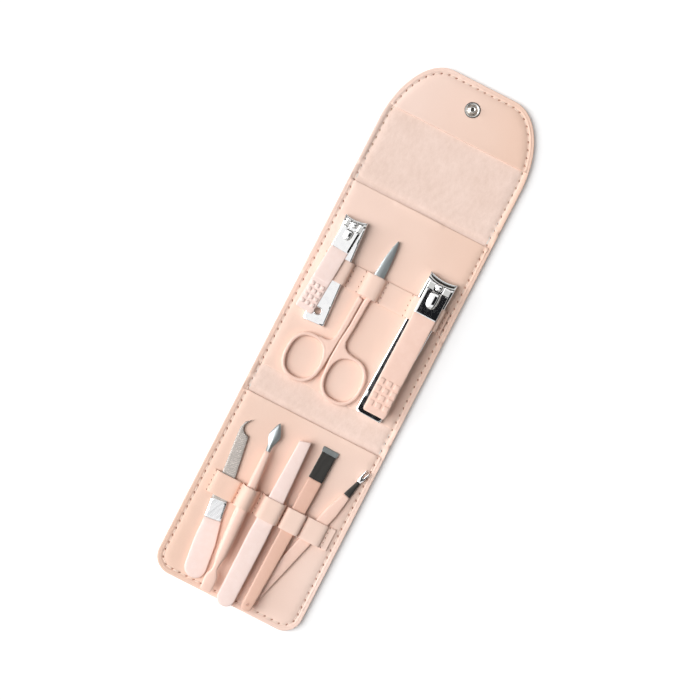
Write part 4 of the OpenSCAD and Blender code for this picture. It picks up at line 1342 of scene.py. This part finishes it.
SCISSOR_RINGS = {"left": (-20.0, -17.2, 9.9, 12.3), "right": (4.0, -18.9, 10.2, 12.3)}
SCISSOR_SHANKS = {
    "left": [(-9.1, 24.6), (-6.0, 23.4), (-6.6, 8), (-7.7, -5), (-8.6, -18), (-9.8, -24), (-11.3, -24),
             (-10.3, -16), (-10.7, -11), (-12.3, -7.6), (-15.2, -5.4), (-18, -4.4), (-17.5, -3.7),
             (-13.3, -3.6), (-11.1, -2.4), (-10.2, 0.4), (-9.8, 8)],
    "right": [(-5.5, 24.8), (-2.3, 24.8), (-3.1, 8), (-3.7, -0.2), (-2.6, -3.2), (0, -4.9), (4, -5.6),
              (5, -7.2), (1.5, -7.8), (-1.9, -9.4), (-4.2, -12.3), (-5.4, -16), (-5.6, -22), (-7.3, -20),
              (-7.7, -12), (-7.2, -1), (-6.2, 8)],
}


SCISSOR_NECKS = {
    "left": [(-7.7, 24.0), (-5.2, 24.0), (-3.0, 27.5), (-1.6, 31.0), (-1.5, 35.0), (-6.9, 35.0), (-7.6, 31.0)],
    "right": [(-4.9, 24.4), (-2.0, 24.4), (-1.5, 31.0), (-1.4, 35.0), (-6.9, 35.0), (-7.2, 31.0), (-6.0, 29.0)],
}
BLADE_BACK = [(-6.9, 34.0), (-6.7, 40.0), (-5.9, 48.5), (-4.8, 54.5)]
SCISSOR_BLADES = {
    "left": BLADE_BACK + [(-3.5, 58.6), (-3.1, 59.0), (-2.6, 57.5), (-2.0, 53.5), (-1.6, 48.0), (-1.4, 40.0),
                          (-1.4, 34.0)],
    "right": BLADE_BACK + [(-3.6, 58.8), (-3.2, 59.2), (-2.5, 57.5), (-1.9, 53.5), (-1.5, 48.0), (-1.3, 40.0),
                           (-1.3, 34.0)],
}


class MANICURE_OT_scissors(Maker):
    """Builds the nail scissors: coated handles and steel blades"""
    bl_idname = "manicure.scissors"
    bl_label = "Scissors"

    def execute(self, context):
        coat = [material("coat")]
        for side, body, level, ridge in (("left", "scissors_left", 0, 0.0),
                                         ("right", "scissors", UPPER_BLADE, 0.5)):
            low, high = TOOL_Z + level, TOOL_Z + level + BLADE_T
            parts = [tube("ring", oval(*SCISSOR_RINGS[side]), 1.05, 1.25, TOOL_Z + BLADE_T, coat, 3.2),
                     plate("shank", rounded(SCISSOR_SHANKS[side], 0.8, 3), TOOL_Z + 0.05, TOOL_Z + 2.5, 0.75, coat,
                           step=0.7, grid=1.0),
                     plate("neck", rounded(SCISSOR_NECKS[side], 1.0), low, high, 0.35, coat, step=0.8, grid=1.2)]
            handle = fuse(f"scissors_{side}_handle", parts, 0.24, 5)
            rides(handle, body, "pink_coat", f"scissors_{side}_half")
            tip = plate(f"scissors_{side}_blade", SCISSOR_BLADES[side], low, high, 0.25, [material("steel")],
                        step=0.8, grid=1.0)
            for v in tip.data.vertices:
                if v.co.z > (low + 0.7) * MM:
                    x, y = v.co.x / MM, v.co.y / MM
                    v.co.z -= (ridge * max(0.0, (x + 4.6) / 3.4) + 0.35 * max(0.0, (y - 46) / 14.0)) * MM
            rides(tip, body, "satin_steel")
        return {"FINISHED"}


class MANICURE_OT_file(Maker):
    """Builds the hook-ended file with its coated handle"""
    bl_idname = "manicure.hook_file"
    bl_label = "Hook file"

    def execute(self, context):
        at = place(FILE_SPOT)
        joint = 32.5
        upper = [(-4.6, joint + 10.5), (4.0, joint + 10.5), (3.7, 57), (2.8, 79.6)]
        hook = arc(2.1, 83.6, 3.2, 3.6, 260, 130, 10)
        tip = [(1.8, 88.6), (-1.4, 86.4), (-3, 83), (-3.3, 77), (-3.8, 57)]
        blade = plate("file_blade", upper + hook + tip, 0.1, 1.3, 0.22, [material("file")], step=0.9, grid=1.6,
                      matrix=at)
        rides(blade, "hook_file", "satin_steel", "hook_file_blade")
        strip = [(-4.7, joint), (4.4, joint), (4.2, joint + 10.7), (-4.55, joint + 10.7)]
        bright = plate("file_shoulder", strip, 0.08, 1.34, 0.2, [material("bright_steel")], step=0.9, grid=1.6,
                       matrix=at)
        rides(bright, "hook_file", "satin_steel")
        outline = arc(0, 6, 5.9, 6, 180, 360, 18) + [(6, 20), (4.6, joint), (-4.8, joint), (-6, 20)]
        # The handle takes the lighter copy of the coat: painted light.
        handle = plate("file_handle", outline, 0.0, 1.6, 0.5, [material("coat_painted_lit")], crown=0.15, step=1.0,
                       grid=1.8, matrix=at)
        rides(handle, "hook_file", "pink_coat", "hook_file_handle")
        return {"FINISHED"}


HANDLE_STATIONS = (
    (0.0, 0.25, 1.2, 0.3), (0.12, 0.25, 2.0, 0.42), (0.5, 0.25, 2.7, 0.5), (1.2, 0.2, 3.05, 0.56),
    (4.0, 0.15, 3.2, 0.6), (7.6, 0.1, 3.25, 0.62), (9.0, 0.05, 3.0, 0.68), (11.0, 0, 1.95, 0.95),
    (12.6, 0, 1.45, 1.3), (15, 0, 1.6, 1.55), (17.5, 0, 2.2, 2.1), (20.5, 0, 2.7, 2.65), (26, 0, 3.05, 3.05),
    (32, 0, 3.25, 3.25), (40, 0, 3.3, 3.3), (48, 0, 3.25, 3.25), (56, 0, 2.85, 2.85), (64, 0, 2.45, 2.45),
    (72, 0, 2.05, 2.05), (77.5, 0, 1.8, 1.8), (79.2, 0, 1.65, 1.65), (79.5, 0, 1.45, 1.45))
SPEAR_STATIONS = (
    (79.4, -0.2, 1.35, 1.35), (80.5, -0.3, 1.35, 1.3), (82.5, -0.55, 1.5, 1.15), (84.0, -0.7, 1.9, 1.0),
    (85.6, -0.85, 2.55, 0.95), (87.4, -0.95, 3.1, 0.9), (88.6, -1.0, 3.1, 0.85), (90.2, -1.1, 2.65, 0.75),
    (92.0, -1.2, 1.95, 0.62), (93.8, -1.3, 1.15, 0.45), (95.0, -1.35, 0.5, 0.25), (95.35, -1.4, 0.2, 0.1))


class MANICURE_OT_pusher(Maker):
    """Builds the cuticle pusher: ridged spear, turned handle and spade"""
    bl_idname = "manicure.pusher"
    bl_label = "Cuticle pusher"

    def execute(self, context):
        at = place_pitched(PUSHER_SPOT, PUSHER_LEN, PUSHER_PITCH)
        bar, neck = [[(y, PUSHER_AXIS + dz, hw, ht) for y, dz, hw, ht in stations]
                     for stations in (HANDLE_STATIONS, SPEAR_STATIONS)]
        handle = loft("pusher_turned_handle", bar, [material("coat")], matrix=at, steps=44, power=3.1)
        rides(handle, "pusher", "pink_coat", "pusher_handle")
        spear = loft("pusher_spear", neck, [material("steel")], matrix=at, steps=36, power=1.45, sharp=34)
        rides(spear, "pusher", "chrome", "pusher_head")
        return {"FINISHED"}


def arm_gap(s):
    """Distance of a tweezers arm's inner face from the middle plane, along its length."""
    bow, tip, middle = TWEEZERS_H / 2 - ARM_T, 1.5, 50.0
    low = 0.02 + (bow - 0.02) * np.sin(np.pi / 2 * np.clip(s / middle, 0, 1))
    high = tip + (bow - tip) * np.cos(np.pi / 2 * np.clip((s - middle) / (TWEEZERS_LEN - middle), 0, 1))
    return np.where(s < middle, low, high)


class MANICURE_OT_tweezers(Maker):
    """Builds the two sprung arms of the slanted tweezers"""
    bl_idname = "manicure.tweezers"
    bl_label = "Tweezers"

    def execute(self, context):
        at = place(TWEEZERS_SPOT, 0, TOOL_Z + TWEEZERS_H / 2)
        outline = arc(0, 4.8, 4.8, 4.8, 180, 360, 18) + [
            (5, 40), (4.4, 62), (3, TWEEZERS_LEN), (-3, TWEEZERS_LEN - 1.8), (-4.2, 62), (-5, 40)]

        def outer(x, y, d):
            return arm_gap(y) + ARM_T - edge_drop(d, 0.38) - 0.12 * crown_drop(d)

        def inner(x, y, d):
            return arm_gap(y) + edge_drop(d, 0.3)

        for name, top, bottom, body in (
                ("upper", outer, inner, "tweezers_upper"),
                ("lower", lambda x, y, d: -inner(x, y, d), lambda x, y, d: -outer(x, y, d), "tweezers")):
            # The arms take the lighter copy of the coat: painted light.
            arm = form(f"tweezers_{name}_blade", resample(outline, 1.1), top, bottom, [material("coat_painted_lit")],
                       round_rings(0.38) + [1.3], 1.8, matrix=at)
            rides(arm, body, "pink_coat", f"tweezers_{name}_arm")
        return {"FINISHED"}


class MANICURE_OT_scraper(Maker):
    """Builds the flat scraper with its chisel edge"""
    bl_idname = "manicure.scraper"
    bl_label = "Scraper"

    def execute(self, context):
        at = place_pitched(SCRAPER_SPOT, SCRAPER_LEN, SCRAPER_PITCH)
        joint, bevel = 77.5, 92.6
        outline = arc(0, 2.9, 2.9, 2.9, 180, 360, 14) + [(3.6, 34), (3.9, joint), (-3.9, joint), (-3.6, 34)]
        # The handle takes the deeper copy of the coat: painted shade.
        handle = plate("scraper_flat_handle", outline, 0.0, 2.2, 0.5, [material("coat_painted_shade")], crown=0.1, step=0.9,
                       grid=1.6, matrix=at, holes=[((0, 4.0), 1.8)])
        rides(handle, "scraper", "pink_coat", "scraper_handle")
        strip = [(-3.9, joint), (3.9, joint), (3.9, 92), (4.5, 93.5), (4.5, SCRAPER_LEN), (-4.5, SCRAPER_LEN),
                 (-4.5, 93.5), (-3.9, 92)]
        line = resample(rounded(strip, [0.05, 0.05, 0.5, 0.3, 0.35, 0.35, 0.3, 0.5]), 0.8)

        def top(x, y, d):
            return 1.6 - edge_drop(d, 0.2) - np.clip((y - bevel) / 2.9, 0, 1) * 1.2

        def bottom(x, y, d):
            return edge_drop(d, 0.15)

        blade = form("scraper_chisel", line, top, bottom, [material("dark_steel"), material("steel")],
                     [0.05, 0.12, 0.2, 0.7], 1.2,
                     [(x, y) for x in np.linspace(-4.2, 4.2, 12) for y in (bevel - 0.1, bevel + 0.1)],
                     slot_of=lambda p, depth, is_top: 1 if p[1] > bevel else 0, matrix=at, sharp=30)
        rides(blade, "scraper", "satin_steel", "scraper_blade")
        return {"FINISHED"}


class MANICURE_OT_fork(Maker):
    """Builds the cuticle fork with its two prongs"""
    bl_idname = "manicure.fork"
    bl_label = "Cuticle fork"

    def execute(self, context):
        at = place(FORK_SPOT)
        joint = 71.5
        outline = arc(0, 3.1, 3.1, 3.1, 180, 360, 14) + [(3.3, 30), (3.3, 60), (2.1, joint), (-2.1, joint),
                                                        (-3.3, 60), (-3.3, 30)]
        handle = plate("fork_flat_handle", outline, 0.0, 1.8, 0.5, [material("coat")], crown=0.1, step=0.9,
                       grid=1.6, matrix=at)
        rides(handle, "fork", "pink_coat", "fork_handle")
        neck = [(-1.9, joint), (1.9, joint), (1.0, 81), (-1.0, 81)]
        shaft = plate("fork_neck", neck, 0.3, 1.5, 0.25, [material("dark_steel")], step=0.6, grid=1.0, matrix=at)
        rides(shaft, "fork", "satin_steel", "fork_prongs")
        fork = [(-0.95, 80.8), (0.95, 80.8), (1.55, 83.0), (1.45, 87.9), (0.85, 87.9), (0.3, 84.0),
                (-0.3, 84.0), (-0.85, 87.9), (-1.45, 87.9), (-1.55, 83.0)]
        prongs = plate("fork_tips", rounded(fork, [0.05, 0.05, 0.8, 0.4, 0.3, 0.35, 0.35, 0.3, 0.4, 0.8]),
                       0.28, 1.52, 0.25, [material("chrome")], step=0.4, grid=0.7, matrix=at)
        rides(prongs, "fork", "satin_steel")
        return {"FINISHED"}


KEPT_NODES = {
    "middle_board": "card", "lower_board": "card", "flap_board": "card",
    "lower_spine_padding": "felt", "upper_spine_padding": "felt",
    "snap_eyelet": "nickel",
    "small_clipper_lower_arm": "chrome",
    "small_clipper_eyelet": "chrome", "small_clipper_post": "chrome",
    "large_clipper_lower_arm": "chrome",
    "large_clipper_rivet": "chrome", "large_clipper_post": "chrome",
    "scissors_screw": "chrome",
}


class MANICURE_OT_kept_parts(Maker):
    """Finishes the parts that keep their CAD shape, with softened edges"""
    bl_idname = "manicure.kept_parts"
    bl_label = "Boards and metal fittings"

    def execute(self, context):
        for node, finish in KEPT_NODES.items():
            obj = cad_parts[node]
            obj.data.materials.clear()
            obj.data.materials.append(material(finish))
            if finish in ("card", "felt"):
                continue
            weld = obj.modifiers.new("weld", "WELD")
            weld.merge_threshold = 0.01 * MM
            edge = obj.modifiers.new("soft edge", "BEVEL")
            edge.width = 0.22 * MM
            edge.segments = 2
            edge.limit_method = "ANGLE"
            edge.angle_limit = math.radians(35)
            even = obj.modifiers.new("even shading", "WEIGHTED_NORMAL")
            even.keep_sharp = True
            even.weight = 100
            obj.data.polygons.foreach_set("use_smooth", [True] * len(obj.data.polygons))
            obj.data.set_sharp_from_angle(angle=math.radians(60))
        return {"FINISHED"}


class MANICURE_OT_stage(Maker):
    """Sets up the floor, the lights and the overhead camera"""
    bl_idname = "manicure.stage"
    bl_label = "Floor, lights and camera"

    def execute(self, context):
        scene = context.scene
        stage = scene.stage_settings
        scene.view_settings.view_transform = "Standard"
        corners = [(x * FLOOR_HALF, y * FLOOR_HALF, 0) for x, y in ((-1, -1), (1, -1), (1, 1), (-1, 1))]
        floor = make_object("floor", corners, [(0, 1, 2, 3)], [floor_material()])
        sky(scene, stage.sky_strength)
        lens = bpy.data.cameras.new("camera")
        lens.sensor_width = SENSOR
        lens.lens = SENSOR * stage.camera_height / stage.view_width
        lens.clip_end = 20
        camera = bpy.data.objects.new("camera", lens)
        camera.location = (-0.1 * MM, -3.1 * MM, stage.camera_height)
        camera.rotation_euler = (0, 0, stage.camera_turn)
        scene.collection.objects.link(camera)
        scene.camera = camera
        add_lamp("key", 200.0, 53.5, 48.0, stage.key_strength)
        add_lamp("side", 196.0, 19.0, 30.0, stage.side_strength)
        return {"FINISHED"}


def add_lamp(name, bearing, height, width, strength):
    """A far soft light; bearing, height above the floor and width are in degrees."""
    lamp = bpy.data.lights.new(name, "SUN")
    lamp.angle = math.radians(width)
    lamp.energy = strength
    obj = bpy.data.objects.new(name, lamp)
    a, b = math.radians(bearing), math.radians(height)
    at = Vector((math.cos(a) * math.cos(b), math.sin(a) * math.cos(b), math.sin(b)))
    obj.location = at
    obj.rotation_mode = "QUATERNION"
    obj.rotation_quaternion = (-at).to_track_quat("-Z", "Y")
    bpy.context.scene.collection.objects.link(obj)


def floor_material():
    """White paper that keeps the shadow; its glow is for the camera and for reflections."""
    made, tree, sockets = principled("Floor paper", Base_Color=(0.95,) * 3, Roughness=0.9, Specular_IOR_Level=0.1,
                                     Emission_Color=WHITE)
    fibre = noise_node(tree, object_point(tree), 40.0, 2.0)
    feed(tree, sockets["Base Color"], blend_colours(tree, fibre, (0.94,) * 3, (0.96,) * 3))
    seen = any_ray(tree, "Is Camera Ray", "Is Glossy Ray", "Is Transmission Ray")
    feed(tree, sockets["Emission Strength"], value_node(tree, "MULTIPLY", seen, 0.17))
    return made


def any_ray(tree, first, *others):
    """1 for the named kinds of ray, 0 for all others."""
    path = add_node(tree, "LightPath", {}).outputs
    seen = path[first]
    for label in others:
        seen = value_node(tree, "MAXIMUM", seen, path[label])
    return seen


def sky(scene, strength):
    """Even light; metal also sees the dark card above the large clipper."""
    world = bpy.data.worlds.new("studio")
    world.use_nodes = True
    scene.world = world
    tree = world.node_tree
    background = tree.nodes["Background"]
    way = split_node(tree, add_node(tree, "TexCoord", {}).outputs["Generated"])

    def mask(value, low, high):
        return map_range(tree, value, (low, high))

    def maths(operation, *values):
        return value_node(tree, operation, *values)

    card = maths("MULTIPLY", mask(way["X"], 0.006, 0.012), mask(way["X"], 0.345, 0.325))
    card = maths("MULTIPLY", card, mask(maths("ABSOLUTE", way["Y"]), 0.125, 0.112))
    card = maths("MULTIPLY", card, maths("GREATER_THAN", way["Z"], 0.0))
    far = maths("MAXIMUM", way["X"], way["Y"])
    strip = maths("ABSOLUTE", maths("SUBTRACT", far, 0.7))
    mirror = WHITE
    for part, colour in ((mask(way["Y"], -0.3, -0.4), (0.68, 0.68, 0.66)),
                         (mask(far, 0.3, 0.42), (0.04, 0.037, 0.034)),
                         (mask(strip, 0.09, 0.06), (0.8, 0.8, 0.78)),
                         (mask(way["Z"], 0.2, 0.08), (0.62, 0.52, 0.46)),
                         (card, (0.012, 0.012, 0.014))):
        mirror = blend_colours(tree, part, mirror, colour)
    glossy = any_ray(tree, "Is Glossy Ray")
    feed(tree, background.inputs["Color"], blend_colours(tree, glossy, WHITE, mirror))
    lit = any_ray(tree, "Is Camera Ray", "Is Transmission Ray", "Is Glossy Ray")
    feed(tree, background.inputs["Strength"], map_range(tree, lit, target=(strength, 1.0)))


class MANICURE_PT_panel(bpy.types.Panel):
    """Lists the builders of the manicure case"""
    bl_idname = "MANICURE_PT_panel"
    bl_label = "Manicure Case"
    bl_space_type = "VIEW_3D"
    bl_region_type = "UI"
    bl_category = "Manicure Case"

    def draw(self, context):
        scene = context.scene
        for settings in (scene.case_settings, scene.tool_settings_set, scene.stage_settings):
            box = self.layout.box()
            for key in settings.__class__.__annotations__:
                box.prop(settings, key)
        for cls in OPERATORS:
            self.layout.operator(cls.bl_idname)


SETTINGS = ((CaseSettings, "case_settings"), (ToolSettings, "tool_settings_set"),
            (StageSettings, "stage_settings"))
OPERATORS = (MANICURE_OT_stage, MANICURE_OT_case_skin, MANICURE_OT_facings, MANICURE_OT_loop_bands,
             MANICURE_OT_seams, MANICURE_OT_snap, MANICURE_OT_clippers, MANICURE_OT_scissors,
             MANICURE_OT_file, MANICURE_OT_pusher, MANICURE_OT_tweezers, MANICURE_OT_scraper,
             MANICURE_OT_fork, MANICURE_OT_kept_parts)


def register():
    for cls, name in SETTINGS:
        bpy.utils.register_class(cls)
        setattr(bpy.types.Scene, name, PointerProperty(type=cls))
    for cls in (*OPERATORS, MANICURE_PT_panel):
        bpy.utils.register_class(cls)


def unregister():
    for cls in reversed((*OPERATORS, MANICURE_PT_panel)):
        bpy.utils.unregister_class(cls)
    for cls, name in SETTINGS:
        delattr(bpy.types.Scene, name)
        bpy.utils.unregister_class(cls)


def main():
    register()
    for cls in OPERATORS:
        group_name, call = cls.bl_idname.split(".")
        getattr(getattr(bpy.ops, group_name), call)()


if __name__ == "__main__":
    main()
